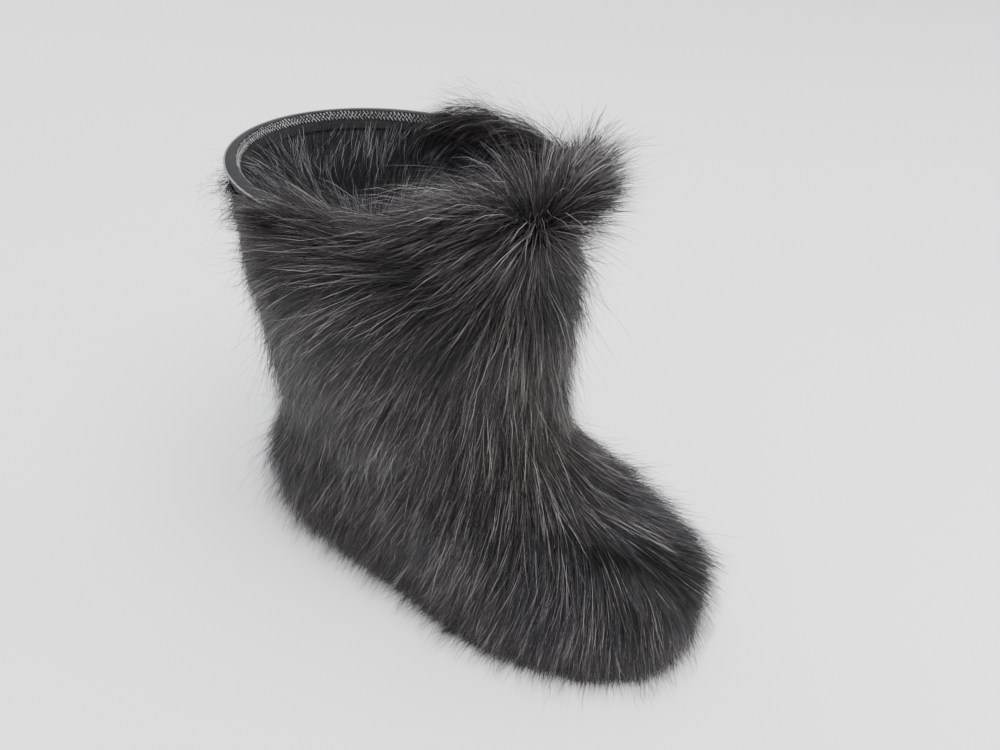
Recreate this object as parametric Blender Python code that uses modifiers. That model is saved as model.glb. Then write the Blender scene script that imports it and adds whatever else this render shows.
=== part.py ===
"""Right fur boot: rubber outsole, insole, hollow hide upper, long fur with its locks, and a bound collar edge.

Metres, +Z up. The toe points to -Y, the foot's inner side is +X, and the origin is the centre of the heel's
contact patch on the floor. Distances along the foot, called reach, are measured forwards from the heel's back.
"""

from collections import namedtuple

import bmesh
import bpy
import numpy as np

# Foot
FOOT_LENGTH = 0.258
BALL_WIDTH = 0.091
HEEL_WIDTH = 0.067
INSTEP_HEIGHT = 0.108
TOE_IN = 0.008
# Shaft
SHAFT_HEIGHT = 0.258
ANKLE_LENGTH = 0.151
ANKLE_WIDTH = 0.086
COLLAR_LENGTH = 0.183
COLLAR_WIDTH = 0.147
COLLAR_TILT = 0.005
# Sole
HEEL_HEIGHT = 0.021
FOREFOOT_HEIGHT = 0.014
TOE_SPRING = 0.009
ARCH_RISE = 0.005
HEEL_REST_LENGTH = 0.058
HEEL_EDGE = 0.006
HEEL_EDGE_RISE = 0.0015
SOLE_MARGIN = 0.0015
TREAD_DEPTH = 0.004
TREAD_GROOVE = 0.005
TREAD_PITCH = 0.0155
TREAD_ZIGZAG = 0.0046
TREAD_KINKS = 7
# Walls and layers
HIDE_WALL = 0.003
INSOLE_THICKNESS = 0.004
BINDING_THICKNESS = 0.0013
BINDING_INSIDE = 0.009
BINDING_OUTSIDE = 0.005
BINDING_CROWN = 0.0008
GAP = 0.0003
# Fur
PILE = 0.021
LOCK_LENGTH = 0.031
LOCK_LIFT = 0.009
LOCK_LEAN = 0.018
COLLAR_FRINGE = 0.018
COLLAR_BARE = 0.009
TUFT_RISE = 0.008
HEM_HEIGHT = 0.003
HEM_DEPTH = 0.014
# Counts
COLUMNS = 56
UPPER_RINGS = 15
LOCK_ROWS = 13
SURVEY_RINGS = 120
SURVEY_COLUMNS = 24
NEAR = 0.004
FUR_SEED = 7

SOLE_HEIGHT = (HEEL_HEIGHT + FOREFOOT_HEIGHT) / 2
HEEL_CENTRE = HEEL_EDGE + HEEL_REST_LENGTH / 2
HEEL_BREAST = (HEEL_EDGE + HEEL_REST_LENGTH) / FOOT_LENGTH
TAPE_CLEAR = BINDING_THICKNESS + 4 * GAP

# Places along the foot, as shares of FOOT_LENGTH.
WIDENING_START = 0.12
WIDENING_END = 0.64
TOE_IN_START = 0.35
SOLE_SLOPE_START = 0.25
SOLE_SLOPE_END = 0.65
ARCH_RAMP = 0.05
ARCH_END_RAMP = 0.09
BALL_START = 0.54
BALL_END = 0.76
LAST_GROOVE = 0.95
# Places of the heel's tread grooves from its centre, as shares of half its rest length.
HEEL_GROOVES = (0.28, 0.82)
# Lengths and lifts of the locks as shares of LOCK_LENGTH and LOCK_LIFT. Sway is in column widths, and the
# first row's root is in row heights below the fur's top.
LONG_LOCK = 0.86
SHORT_LOCK = 0.48
SHORT_LIFT = 0.25
LOCK_SWAY = 0.25
FIRST_ROOT = 0.35
# Depths of the fur's upper edge, as shares of its thickness there.
CROWN_INNER = 0.10
CROWN_HOLLOW = 0.40
CROWN_TUFT = 0.70
# The fringe is full over the front and bare over the back: cosines of the angle from its middle, which is
# turned by FRINGE_TURN towards the outer side.
FRINGE_TURN = 0.17
FRINGE_FULL = 0.50
FRINGE_END = -0.72
# Where the ring's plan is widest, as a share of its length: at the feather line, and higher up.
FOOT_WIDEST = 0.62
SHAFT_WIDEST = 0.50

# One row for each ring of the foot, from the feather line up. Reaches are shares of FOOT_LENGTH, heights are
# shares of INSTEP_HEIGHT above the sole, and widths are shares of BALL_WIDTH and HEEL_WIDTH. Roundness is the
# exponent of the ring's plan. Follow says how much of the sole's curve the ring keeps.
FootRow = namedtuple(
    "FootRow", "front_reach front_height back_reach back_height ball_width heel_width roundness follow"
)
FOOT_ROWS = (
    FootRow(0.978, 0.000, 0.010, 0.000, 0.93, 0.90, 2.60, 1.0),
    FootRow(1.000, 0.120, -0.021, 0.110, 0.99, 0.98, 2.50, 0.9),
    FootRow(0.988, 0.290, -0.027, 0.260, 1.00, 1.00, 2.40, 0.6),
    FootRow(0.922, 0.460, -0.010, 0.400, 0.98, 1.00, 2.30, 0.3),
    FootRow(0.820, 0.580, 0.010, 0.555, 0.95, 1.00, 2.20, 0.1),
    FootRow(0.722, 0.707, 0.022, 0.693, 0.91, 1.02, 2.10, 0.0),
    FootRow(0.658, 0.855, 0.022, 0.850, 0.87, 1.08, 2.00, 0.0),
)
# One row for each ring of the shaft, from the ankle to the collar. Heights are shares of the way from the
# ankle to the collar, front reaches are shares of FOOT_LENGTH, and flares run from the ankle's size at 0 to
# the collar's at 1.
OVAL = 2.0
ShaftRow = namedtuple("ShaftRow", "height front_reach length_flare width_flare")
SHAFT_ROWS = (
    ShaftRow(0.00, 0.612, 0.00, 0.00),
    ShaftRow(0.18, 0.594, 0.02, 0.18),
    ShaftRow(0.42, 0.588, 0.18, 0.46),
    ShaftRow(0.73, 0.590, 0.52, 0.77),
    ShaftRow(1.00, 0.602, 1.00, 1.00),
)
# Where the foot's plan swells or narrows: place and spread as shares of FOOT_LENGTH, and how much wider the
# inner and the outer side are there, as shares of the half width.
PlanBump = namedtuple("PlanBump", "place spread inner outer")
PLAN_BUMPS = (
    PlanBump(0.42, 0.13, -0.13, -0.05),
    PlanBump(0.64, 0.12, 0.00, 0.05),
    PlanBump(0.74, 0.10, 0.03, 0.00),
)
# The side of the sole from its top edge down: height share, and outset as a share of SOLE_MARGIN.
SoleStep = namedtuple("SoleStep", "height outset")
SOLE_STEPS = (
    SoleStep(1.00, 0.4),
    SoleStep(0.90, 1.0),
    SoleStep(0.66, 1.0),
    SoleStep(0.62, 0.3),
    SoleStep(0.52, 0.3),
    SoleStep(0.48, 1.0),
    SoleStep(0.12, 1.0),
    SoleStep(0.00, -0.2),
)
# Fur depth up the wall from the feather line to the collar, as shares of PILE: round the front and the sides,
# and at the back, where it is full at the heel and lies flat below the collar.
PileRow = namedtuple("PileRow", "place front back")
PILE_ROWS = (
    PileRow(0.00, 0.60, 0.95),
    PileRow(0.10, 0.70, 1.20),
    PileRow(0.30, 0.76, 1.20),
    PileRow(0.50, 0.80, 0.97),
    PileRow(0.70, 0.84, 0.75),
    PileRow(0.85, 0.88, 0.45),
    PileRow(1.00, 0.72, 0.25),
)

FUR_COLOUR = (0.030, 0.027, 0.027)
HIDE_COLOUR = (0.045, 0.042, 0.042)
RUBBER_COLOUR = (0.018, 0.018, 0.019)
FELT_COLOUR = (0.060, 0.058, 0.060)
TAPE_COLOUR = (0.085, 0.085, 0.088)


def ease(value):
    """A smooth step from 0 to 1."""
    share = np.clip(value, 0.0, 1.0)
    return share * share * (3.0 - 2.0 * share)


def swelling(share, inner_side):
    """How much wider the foot's plan is at a share of its length, on its inner or outer side."""
    wider = np.zeros_like(share)
    for row in PLAN_BUMPS:
        hill = np.exp(-(((share - row.place) / row.spread) ** 2))
        wider = wider + hill * np.where(inner_side, row.inner, row.outer)
    return wider


def centre_line(share):
    """How far the foot's middle lies towards its inner side."""
    return TOE_IN * (np.clip(share - TOE_IN_START, 0.0, None) / (1.0 - TOE_IN_START)) ** 2


def toe_rise(share):
    """How far the toe curls up from the floor, at a share of the foot's length."""
    return TOE_SPRING * np.clip((share - BALL_END) / (1.0 - BALL_END), 0.0, None) ** 2


def sole_top(reach):
    """Height of the sole's upper face above the floor."""
    share = reach / FOOT_LENGTH
    slope = ease((share - SOLE_SLOPE_START) / (SOLE_SLOPE_END - SOLE_SLOPE_START))
    return HEEL_HEIGHT - (HEEL_HEIGHT - FOREFOOT_HEIGHT) * slope + toe_rise(share)


def sole_bottom(reach):
    """Height of the tread above the floor: flat at heel and ball, raised at the arch and the toe."""
    share = reach / FOOT_LENGTH
    arch = ARCH_RISE * ease((share - HEEL_BREAST) / ARCH_RAMP) * ease((BALL_START - share) / ARCH_END_RAMP)
    heel_back = HEEL_EDGE_RISE * np.clip(1.0 - reach / HEEL_EDGE, 0.0, None)
    return arch + toe_rise(share) + heel_back


def boot_rings():
    """The two tables as one array of real sizes, a row for each ring from the feather line to the collar."""
    rings = []
    for row in FOOT_ROWS:
        front, back = row.front_reach * FOOT_LENGTH, row.back_reach * FOOT_LENGTH
        front_z = SOLE_HEIGHT + row.front_height * INSTEP_HEIGHT
        back_z = SOLE_HEIGHT + row.back_height * INSTEP_HEIGHT
        ball_half, heel_half = row.ball_width * BALL_WIDTH / 2, row.heel_width * HEEL_WIDTH / 2
        rings.append((front, front_z, back, back_z, ball_half, heel_half, row.roundness, row.follow))
    ankle_height = SOLE_HEIGHT + INSTEP_HEIGHT
    for row in SHAFT_ROWS:
        height = ankle_height + row.height * (SHAFT_HEIGHT - ankle_height)
        length = ANKLE_LENGTH + row.length_flare * (COLLAR_LENGTH - ANKLE_LENGTH)
        half_width = (ANKLE_WIDTH + row.width_flare * (COLLAR_WIDTH - ANKLE_WIDTH)) / 2
        front = row.front_reach * FOOT_LENGTH
        tilt = row.height * COLLAR_TILT / 2
        rings.append((front, height + tilt, front - length, height - tilt, half_width, half_width, OVAL, 0.0))
    return np.array(rings)


BOOT_RINGS = boot_rings()


def ring_values(level):
    """Ring sizes at a level from 0, the feather line, to 1, the collar, on a smooth curve through the table.
    Above 1 they carry on straight."""
    last = len(BOOT_RINGS) - 1
    place = np.asarray(level, float) * last
    start = np.clip(np.floor(place).astype(int), 0, last - 1)
    step = np.clip(place - start, 0.0, 1.0)[..., None]
    before = BOOT_RINGS[np.maximum(start - 1, 0)]
    here = BOOT_RINGS[start]
    after = BOOT_RINGS[start + 1]
    beyond = BOOT_RINGS[np.minimum(start + 2, last)]
    bend = (2 * before - 5 * here + 4 * after - beyond) * step**2
    twist = (3 * here - before - 3 * after + beyond) * step**3
    values = here + 0.5 * ((after - before) * step + bend + twist)
    return values + 0.5 * (beyond - here) * np.clip(place - last, 0.0, None)[..., None]


def plan_points(values, angle, grow=0.0):
    """Ring points at angles from 0 at the toe, through the outer side, to half a turn at the heel."""
    front, front_z, back, back_z, ball_half, heel_half, roundness, follow = np.moveaxis(values, -1, 0)
    cosine, sine = np.cos(angle), np.sin(angle)
    power = 2.0 / roundness
    boxiness = ease((roundness - OVAL) / (FOOT_ROWS[0].roundness - OVAL))
    widest = back + (front - back) * (SHAFT_WIDEST + (FOOT_WIDEST - SHAFT_WIDEST) * boxiness)
    ahead = widest + (front + grow - widest) * np.abs(cosine) ** power
    behind = widest - (widest - back + grow) * np.abs(cosine) ** power
    reach = np.where(cosine > 0, ahead, behind)
    share = reach / FOOT_LENGTH
    widening = ease((share - WIDENING_START) / (WIDENING_END - WIDENING_START))
    half = heel_half + (ball_half - heel_half) * widening
    half = half * (1.0 + follow * swelling(share, sine < 0)) + grow
    across = centre_line(share) - np.sign(sine) * np.abs(sine) ** power * half
    height = back_z + (front_z - back_z) * (reach - back) / (front - back)
    height = height + follow * (sole_top(reach) - SOLE_HEIGHT)
    return np.stack([across, HEEL_CENTRE - reach, height], axis=-1)


def upper_points(level, angle):
    """Points of the hide's outer face."""
    level, angle = np.broadcast_arrays(level, angle)
    return plan_points(ring_values(level), angle)


def upper_normals(level, angle):
    """Outward normals of the hide's outer face."""
    upwards = upper_points(level + NEAR, angle) - upper_points(np.maximum(level - NEAR, 0.0), angle)
    around = upper_points(level, angle + NEAR) - upper_points(level, angle - NEAR)
    normals = np.cross(upwards, around)
    return normals / np.linalg.norm(normals, axis=-1, keepdims=True)


def offset_points(level, angle, depth):
    """Points that far outside the hide's outer face."""
    level, angle = np.broadcast_arrays(level, angle)
    return upper_points(level, angle) + upper_normals(level, angle) * np.asarray(depth)[..., None]


def wall_travel():
    """Mean distances up the hide's wall from the feather line, for even levels up to the collar."""
    levels = np.linspace(0.0, 1.0, SURVEY_RINGS)
    points = upper_points(levels[:, None], turn(SURVEY_COLUMNS)[None, :])
    steps = np.linalg.norm(np.diff(points, axis=0), axis=-1).mean(axis=1)
    return levels, np.concatenate([[0.0], np.cumsum(steps)])


def levels_at(distance):
    """Levels for mean distances up the wall. Past the collar they carry on straight."""
    levels, travel = wall_travel()
    pace = (levels[-1] - levels[-2]) / (travel[-1] - travel[-2])
    past = np.maximum(distance - travel[-1], 0.0)
    return np.interp(distance, travel, levels) + past * pace


def turn(count):
    """Angles once round a ring."""
    return np.arange(count) * 2.0 * np.pi / count


WALL_HEIGHT = wall_travel()[1][-1]


def new_object(name, points, faces, colour, roughness, collection):
    """A named object with its own material. Its faces are turned outwards."""
    mesh = bpy.data.meshes.new(name)
    mesh.from_pydata([tuple(point) for point in points], [], faces)
    work = bmesh.new()
    work.from_mesh(mesh)
    bmesh.ops.recalc_face_normals(work, faces=work.faces)
    work.to_mesh(mesh)
    work.free()
    mesh.shade_smooth()
    material = bpy.data.materials.new(name)
    material.use_nodes = True
    shader = material.node_tree.nodes["Principled BSDF"]
    shader.inputs["Base Color"].default_value = (*colour, 1.0)
    shader.inputs["Roughness"].default_value = roughness
    shader.inputs["Metallic"].default_value = 0.0
    mesh.materials.append(material)
    made = bpy.data.objects.new(name, mesh)
    collection.objects.link(made)
    return made


def loft(rings, wrap=False):
    """Points and faces of a skin through closed rings of equal counts. With wrap, the last meets the first."""
    count = len(rings[0])
    points = [point for ring in rings for point in ring]
    faces = []
    for row in range(len(rings) if wrap else len(rings) - 1):
        above = (row + 1) % len(rings)
        for column in range(count):
            beside = (column + 1) % count
            low, high = row * count, above * count
            faces.append((low + column, low + beside, high + beside, high + column))
    return points, faces


def cap(first, count):
    """Strips across a ring whose two sides mirror each other, which then follow its curve along the foot."""
    faces = [(first, first + 1, first + count - 1)]
    for step in range(1, count // 2 - 1):
        faces.append((first + step, first + step + 1, first + count - step - 1, first + count - step))
    middle = count // 2
    faces.append((first + middle - 1, first + middle, first + middle + 1))
    return faces


def hide_levels():
    """Levels of the upper's rings, evenly spread up its wall."""
    return levels_at(np.linspace(0.0, WALL_HEIGHT, UPPER_RINGS))


def make_upper(collection):
    """Hollow hide boot, open at the collar and underneath."""
    rings = upper_points(hide_levels()[:, None], turn(COLUMNS)[None, :])
    rings[0, :, 2] += GAP
    points, faces = loft(rings)
    upper = new_object("upper", points, faces, HIDE_COLOUR, 0.85, collection)
    wall = upper.modifiers.new("hide_wall", "SOLIDIFY")
    wall.thickness = HIDE_WALL
    wall.offset = -1.0
    wall.use_even_offset = True


def make_insole(collection):
    """Felt insole, lying on the sole inside the upper."""
    angles = turn(COLUMNS)
    outline = plan_points(ring_values(np.zeros(COLUMNS)), angles, -HIDE_WALL - 3 * GAP)
    floor_line = sole_top(HEEL_CENTRE - outline[:, 1]) + GAP
    low, high = outline.copy(), outline.copy()
    low[:, 2] = floor_line
    high[:, 2] = floor_line + INSOLE_THICKNESS
    points, faces = loft([low, high])
    faces += cap(0, COLUMNS) + cap(COLUMNS, COLUMNS)
    new_object("insole", points, faces, FELT_COLOUR, 0.95, collection)


def sole_ring(step):
    """One ring of the sole's side."""
    outline = plan_points(ring_values(np.zeros(COLUMNS)), turn(COLUMNS), step.outset * SOLE_MARGIN)
    reach = HEEL_CENTRE - outline[:, 1]
    low, high = sole_bottom(reach), sole_top(reach)
    outline[:, 2] = low + step.height * (high - low)
    return outline


def tread_groove(reach):
    """Zigzag bar across the sole, as points and faces."""
    across = np.linspace(-BALL_WIDTH, BALL_WIDTH, TREAD_KINKS) + centre_line(reach / FOOT_LENGTH)
    zigzag = TREAD_ZIGZAG * (np.arange(TREAD_KINKS) % 2 - 0.5)
    middle = sole_bottom(reach)
    half = TREAD_GROOVE / 2
    section = ((-half, -TREAD_DEPTH), (half, -TREAD_DEPTH), (half, TREAD_DEPTH), (-half, TREAD_DEPTH))
    rings = [
        [(x, HEEL_CENTRE - reach + shift + along, middle + up) for along, up in section]
        for x, shift in zip(across, zigzag)
    ]
    points, faces = loft(rings)
    last = len(points)
    faces += [(0, 1, 2, 3), (last - 4, last - 3, last - 2, last - 1)]
    return points, faces


def make_outsole(collection, cutters):
    """Rubber sole with toe spring, arch, a stepped side and cut tread bars."""
    points, faces = loft([sole_ring(step) for step in SOLE_STEPS])
    faces += cap(0, COLUMNS) + cap((len(SOLE_STEPS) - 1) * COLUMNS, COLUMNS)
    outsole = new_object("outsole", points, faces, RUBBER_COLOUR, 0.7, collection)
    half_heel = HEEL_REST_LENGTH / 2
    heel = [HEEL_CENTRE + side * half_heel * share for side in (-1, 1) for share in HEEL_GROOVES]
    forefoot = np.arange(BALL_START * FOOT_LENGTH, LAST_GROOVE * FOOT_LENGTH, TREAD_PITCH)
    all_points, all_faces = [], []
    for reach in [*heel, *forefoot]:
        points, faces = tread_groove(reach)
        all_faces += [tuple(index + len(all_points) for index in face) for face in faces]
        all_points += points
    grooves = new_object("tread_cutter", all_points, all_faces, RUBBER_COLOUR, 0.7, cutters)
    grooves.hide_render = True
    grooves.display_type = "WIRE"
    tread = outsole.modifiers.new("tread", "BOOLEAN")
    tread.operation = "DIFFERENCE"
    tread.object = grooves


def make_binding(collection):
    """Tape folded over the collar's edge: a U that clears the hide by GAP."""
    levels = np.ones(COLUMNS)
    angles = turn(COLUMNS)
    edge = upper_points(levels, angles)
    out = upper_normals(levels, angles)
    up = upper_points(levels, angles) - upper_points(levels - NEAR, angles)
    up /= np.linalg.norm(up, axis=-1, keepdims=True)
    inner, outer = -HIDE_WALL - GAP, GAP
    section = (
        (outer, -BINDING_OUTSIDE),
        (outer + BINDING_THICKNESS, -BINDING_OUTSIDE),
        (outer + BINDING_THICKNESS, GAP + BINDING_CROWN),
        (outer, GAP + BINDING_THICKNESS),
        (inner, GAP + BINDING_THICKNESS),
        (inner - BINDING_THICKNESS, GAP + BINDING_CROWN),
        (inner - BINDING_THICKNESS, -BINDING_INSIDE),
        (inner, -BINDING_INSIDE),
        (inner, GAP),
        (outer, GAP),
    )
    rings = [edge + out * aside + up * rise for aside, rise in section]
    points, faces = loft(rings, wrap=True)
    new_object("collar_binding", points, faces, TAPE_COLOUR, 0.8, collection)


def collar_rise(angle):
    """How far the fur stands over the collar's edge. Round the back it stops short and leaves the tape bare."""
    fullness = ease((np.cos(angle - FRINGE_TURN) - FRINGE_END) / (FRINGE_FULL - FRINGE_END))
    return (COLLAR_FRINGE + COLLAR_BARE) * fullness - COLLAR_BARE


def pile_depth(distance, angle):
    """Depth of the fur over the hide, at a distance up the wall."""
    places = [row.place for row in PILE_ROWS]
    front = np.interp(distance / WALL_HEIGHT, places, [row.front for row in PILE_ROWS])
    back = np.interp(distance / WALL_HEIGHT, places, [row.back for row in PILE_ROWS])
    return TAPE_CLEAR + (PILE - TAPE_CLEAR) * (front + (back - front) * ease(-np.cos(angle)))


def fur_lining(angles, top):
    """Rings of the fur's inner face, from the hem up: past the sole's side, up the hide on the hide's own
    rings, and past the tape's lower edge."""
    sole_clear = SOLE_MARGIN + 3 * GAP
    tape_edge = WALL_HEIGHT - BINDING_OUTSIDE - BINDING_THICKNESS
    hem = plan_points(ring_values(np.zeros(COLUMNS)), angles, sole_clear)
    hem[:, 2] = HEM_HEIGHT
    rings = [hem]
    for level in hide_levels()[:-1]:
        depth = np.full(COLUMNS, 3 * GAP if level else sole_clear)
        rings.append(offset_points(level, angles, depth))
    depth = np.full(COLUMNS, TAPE_CLEAR)
    rings.append(offset_points(levels_at(np.minimum(top - GAP, tape_edge)), angles, depth))
    rings.append(offset_points(levels_at(top), angles, crown_depth(top, angles, CROWN_INNER)))
    return rings


def crown_depth(top, angles, share):
    """Depth of the fur's upper edge, at a share of its thickness."""
    return TAPE_CLEAR + share * (pile_depth(top, angles) - TAPE_CLEAR)


def lock_tips(row, root, angles, noise):
    """One row of lock tips. Every second column has a long lock that lifts and, on the shaft, leans back."""
    long_lock = (np.arange(COLUMNS) + row) % 2 == 0
    reach = LOCK_LENGTH * np.where(long_lock, LONG_LOCK, SHORT_LOCK) * noise.uniform(0.9, 1.1, COLUMNS)
    lift = np.where(long_lock, 1.0, SHORT_LIFT) * noise.uniform(0.75, 1.15, COLUMNS)
    sway = LOCK_SWAY * noise.uniform(-1.0, 1.0, COLUMNS) * long_lock * 2 * np.pi / COLUMNS
    lean = LOCK_LEAN / (COLLAR_LENGTH / 2) * np.sin(angles) * ease(root / WALL_HEIGHT)
    tip = np.maximum(root - reach, GAP)
    depth = pile_depth(tip, angles) * (1.0 + (lift - 1.0) * LOCK_LIFT / PILE)
    return offset_points(levels_at(tip), angles + lean + sway, depth)


def make_fur(collection):
    """Fur as one solid round the hide. Its outer face is a shingle of locks: each is wide at its root, lifts
    towards its tip, and hangs over the roots of the row below."""
    noise = np.random.default_rng(FUR_SEED)
    angles = turn(COLUMNS)
    tuft = np.arange(COLUMNS) % 2
    top = WALL_HEIGHT + collar_rise(angles)
    rings = fur_lining(angles, top)
    crown = crown_depth(top, angles, np.where(tuft, CROWN_TUFT, CROWN_HOLLOW))
    rings.append(offset_points(levels_at(top + TUFT_RISE * tuft), angles, crown))
    for row in range(LOCK_ROWS):
        root = top * (1.0 - (row + FIRST_ROOT) / LOCK_ROWS)
        if row:
            valley = pile_depth(root, angles) * (1.0 - LOCK_LIFT / PILE)
            rings.append(offset_points(levels_at(root), angles, valley))
        rings.append(lock_tips(row, root, angles, noise))
    hem = plan_points(ring_values(np.zeros(COLUMNS)), angles, HEM_DEPTH)
    hem[:, 2] = HEM_HEIGHT * (1.0 + 2.0 * tuft)
    rings.append(hem)
    points, faces = loft([clear_of_floor(ring) for ring in rings], wrap=True)
    new_object("fur", points, faces, FUR_COLOUR, 0.8, collection)


def clear_of_floor(ring):
    """The ring with no point lower than the hem."""
    lifted = ring.copy()
    lifted[:, 2] = np.maximum(lifted[:, 2], HEM_HEIGHT)
    return lifted


def main():
    for leftover in list(bpy.data.objects):
        bpy.data.objects.remove(leftover)
    boot = bpy.data.collections.new("fur_boot")
    cutters = bpy.data.collections.new("cutters")
    bpy.context.scene.collection.children.link(boot)
    bpy.context.scene.collection.children.link(cutters)
    make_outsole(boot, cutters)
    make_insole(boot)
    make_upper(boot)
    make_binding(boot)
    make_fur(boot)


main()
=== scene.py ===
"""Looks of the right fur boot: long hair in locks, plush lining, bound collar, felt insole and rubber sole.

Metres, in the frame's own axes: the toe points to -Y, the foot's inner side is +X and the floor is z = 0.
Distances up the wall are measured from the feather line, where hide and sole meet. Angles go round a ring
from 0 at the toe, through the outer side, to half a turn at the heel.
"""

import math
from collections import namedtuple

import bmesh
import bpy
import numpy as np
from mathutils import Matrix, Vector
from mathutils.bvhtree import BVHTree


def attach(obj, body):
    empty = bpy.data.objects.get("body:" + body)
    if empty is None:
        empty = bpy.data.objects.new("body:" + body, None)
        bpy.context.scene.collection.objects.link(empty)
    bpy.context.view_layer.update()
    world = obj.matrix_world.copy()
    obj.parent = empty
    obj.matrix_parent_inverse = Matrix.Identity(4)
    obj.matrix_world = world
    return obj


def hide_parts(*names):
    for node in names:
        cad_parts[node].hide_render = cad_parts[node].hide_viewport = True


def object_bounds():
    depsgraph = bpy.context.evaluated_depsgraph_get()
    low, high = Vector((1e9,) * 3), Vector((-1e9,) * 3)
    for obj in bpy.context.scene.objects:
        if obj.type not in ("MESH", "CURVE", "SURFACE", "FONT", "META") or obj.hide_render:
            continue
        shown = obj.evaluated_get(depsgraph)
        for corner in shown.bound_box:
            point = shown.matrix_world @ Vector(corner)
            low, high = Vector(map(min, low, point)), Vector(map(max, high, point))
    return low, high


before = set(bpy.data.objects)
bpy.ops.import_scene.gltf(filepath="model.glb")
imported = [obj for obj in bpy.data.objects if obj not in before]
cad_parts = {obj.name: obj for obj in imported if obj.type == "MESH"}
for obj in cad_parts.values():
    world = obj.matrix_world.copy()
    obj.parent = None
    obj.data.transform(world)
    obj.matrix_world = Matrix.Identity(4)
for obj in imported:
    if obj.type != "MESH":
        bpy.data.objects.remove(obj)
cad_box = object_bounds()

# Foot
FOOT_LENGTH = 0.258
BALL_WIDTH = 0.091
HEEL_WIDTH = 0.067
INSTEP_HEIGHT = 0.108
TOE_IN = 0.008
# Shaft
SHAFT_HEIGHT = 0.258
ANKLE_LENGTH = 0.151
ANKLE_WIDTH = 0.086
COLLAR_LENGTH = 0.183
COLLAR_WIDTH = 0.147
COLLAR_TILT = 0.005
# Sole
HEEL_HEIGHT = 0.021
FOREFOOT_HEIGHT = 0.014
TOE_SPRING = 0.009
HEEL_REST_LENGTH = 0.058
HEEL_EDGE = 0.006
SOLE_MARGIN = 0.0015
# Walls and layers
HIDE_WALL = 0.003
BINDING_THICKNESS = 0.0013
BINDING_OUTSIDE = 0.005
GAP = 0.0003
# Fur
PILE = 0.021
COLLAR_FRINGE = 0.018
COLLAR_BARE = 0.009
HEM_HEIGHT = 0.003
HEM_DEPTH = 0.014
# Counts
UPPER_RINGS = 15
SURVEY_RINGS = 120
SURVEY_COLUMNS = 24
NEAR = 0.004

SOLE_HEIGHT = (HEEL_HEIGHT + FOREFOOT_HEIGHT) / 2
HEEL_CENTRE = HEEL_EDGE + HEEL_REST_LENGTH / 2
TAPE_CLEAR = BINDING_THICKNESS + 4 * GAP

# Places along the foot, as shares of FOOT_LENGTH.
WIDENING_START = 0.12
WIDENING_END = 0.64
TOE_IN_START = 0.35
SOLE_SLOPE_START = 0.25
SOLE_SLOPE_END = 0.65
BALL_END = 0.76
# The fringe is full over the front and bare over the back: cosines of the angle from its middle, which is
# turned by FRINGE_TURN towards the outer side.
FRINGE_TURN = 0.17
FRINGE_FULL = 0.50
FRINGE_END = -0.72
# Where the ring's plan is widest, as a share of its length: at the feather line, and higher up.
FOOT_WIDEST = 0.62
SHAFT_WIDEST = 0.50

# One row for each ring of the foot, from the feather line up. Reaches are shares of FOOT_LENGTH, heights are
# shares of INSTEP_HEIGHT above the sole, and widths are shares of BALL_WIDTH and HEEL_WIDTH. Roundness is the
# exponent of the ring's plan. Follow says how much of the sole's curve the ring keeps.
FootRow = namedtuple(
    "FootRow", "front_reach front_height back_reach back_height ball_width heel_width roundness follow"
)
FOOT_ROWS = (
    FootRow(0.978, 0.000, 0.010, 0.000, 0.93, 0.90, 2.60, 1.0),
    FootRow(1.000, 0.120, -0.021, 0.110, 0.99, 0.98, 2.50, 0.9),
    FootRow(0.988, 0.290, -0.027, 0.260, 1.00, 1.00, 2.40, 0.6),
    FootRow(0.922, 0.460, -0.010, 0.400, 0.98, 1.00, 2.30, 0.3),
    FootRow(0.820, 0.580, 0.010, 0.555, 0.95, 1.00, 2.20, 0.1),
    FootRow(0.722, 0.707, 0.022, 0.693, 0.91, 1.02, 2.10, 0.0),
    FootRow(0.658, 0.855, 0.022, 0.850, 0.87, 1.08, 2.00, 0.0),
)
# One row for each ring of the shaft, from the ankle to the collar. Heights are shares of the way from the
# ankle to the collar, front reaches are shares of FOOT_LENGTH, and flares run from the ankle's size at 0 to
# the collar's at 1.
OVAL = 2.0
ShaftRow = namedtuple("ShaftRow", "height front_reach length_flare width_flare")
SHAFT_ROWS = (
    ShaftRow(0.00, 0.612, 0.00, 0.00),
    ShaftRow(0.18, 0.594, 0.02, 0.18),
    ShaftRow(0.42, 0.588, 0.18, 0.46),
    ShaftRow(0.73, 0.590, 0.52, 0.77),
    ShaftRow(1.00, 0.602, 1.00, 1.00),
)
# Where the foot's plan swells or narrows: place and spread as shares of FOOT_LENGTH, and how much wider the
# inner and the outer side are there, as shares of the half width.
PlanBump = namedtuple("PlanBump", "place spread inner outer")
PLAN_BUMPS = (
    PlanBump(0.42, 0.13, -0.13, -0.05),
    PlanBump(0.64, 0.12, 0.00, 0.05),
    PlanBump(0.74, 0.10, 0.03, 0.00),
)
# Fur depth up the wall from the feather line to the collar, as shares of PILE: round the front and the sides,
# and at the back, where it is full at the heel and lies flat below the collar.
PileRow = namedtuple("PileRow", "place front back")
PILE_ROWS = (
    PileRow(0.00, 0.60, 0.95),
    PileRow(0.10, 0.70, 1.20),
    PileRow(0.30, 0.76, 1.20),
    PileRow(0.50, 0.80, 0.97),
    PileRow(0.70, 0.84, 0.75),
    PileRow(0.85, 0.88, 0.45),
    PileRow(1.00, 0.72, 0.25),
)


def ease(value):
    """A smooth step from 0 to 1."""
    share = np.clip(value, 0.0, 1.0)
    return share * share * (3.0 - 2.0 * share)


def unit(vectors):
    """Vectors of length one."""
    return vectors / np.linalg.norm(vectors, axis=-1, keepdims=True)


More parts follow.
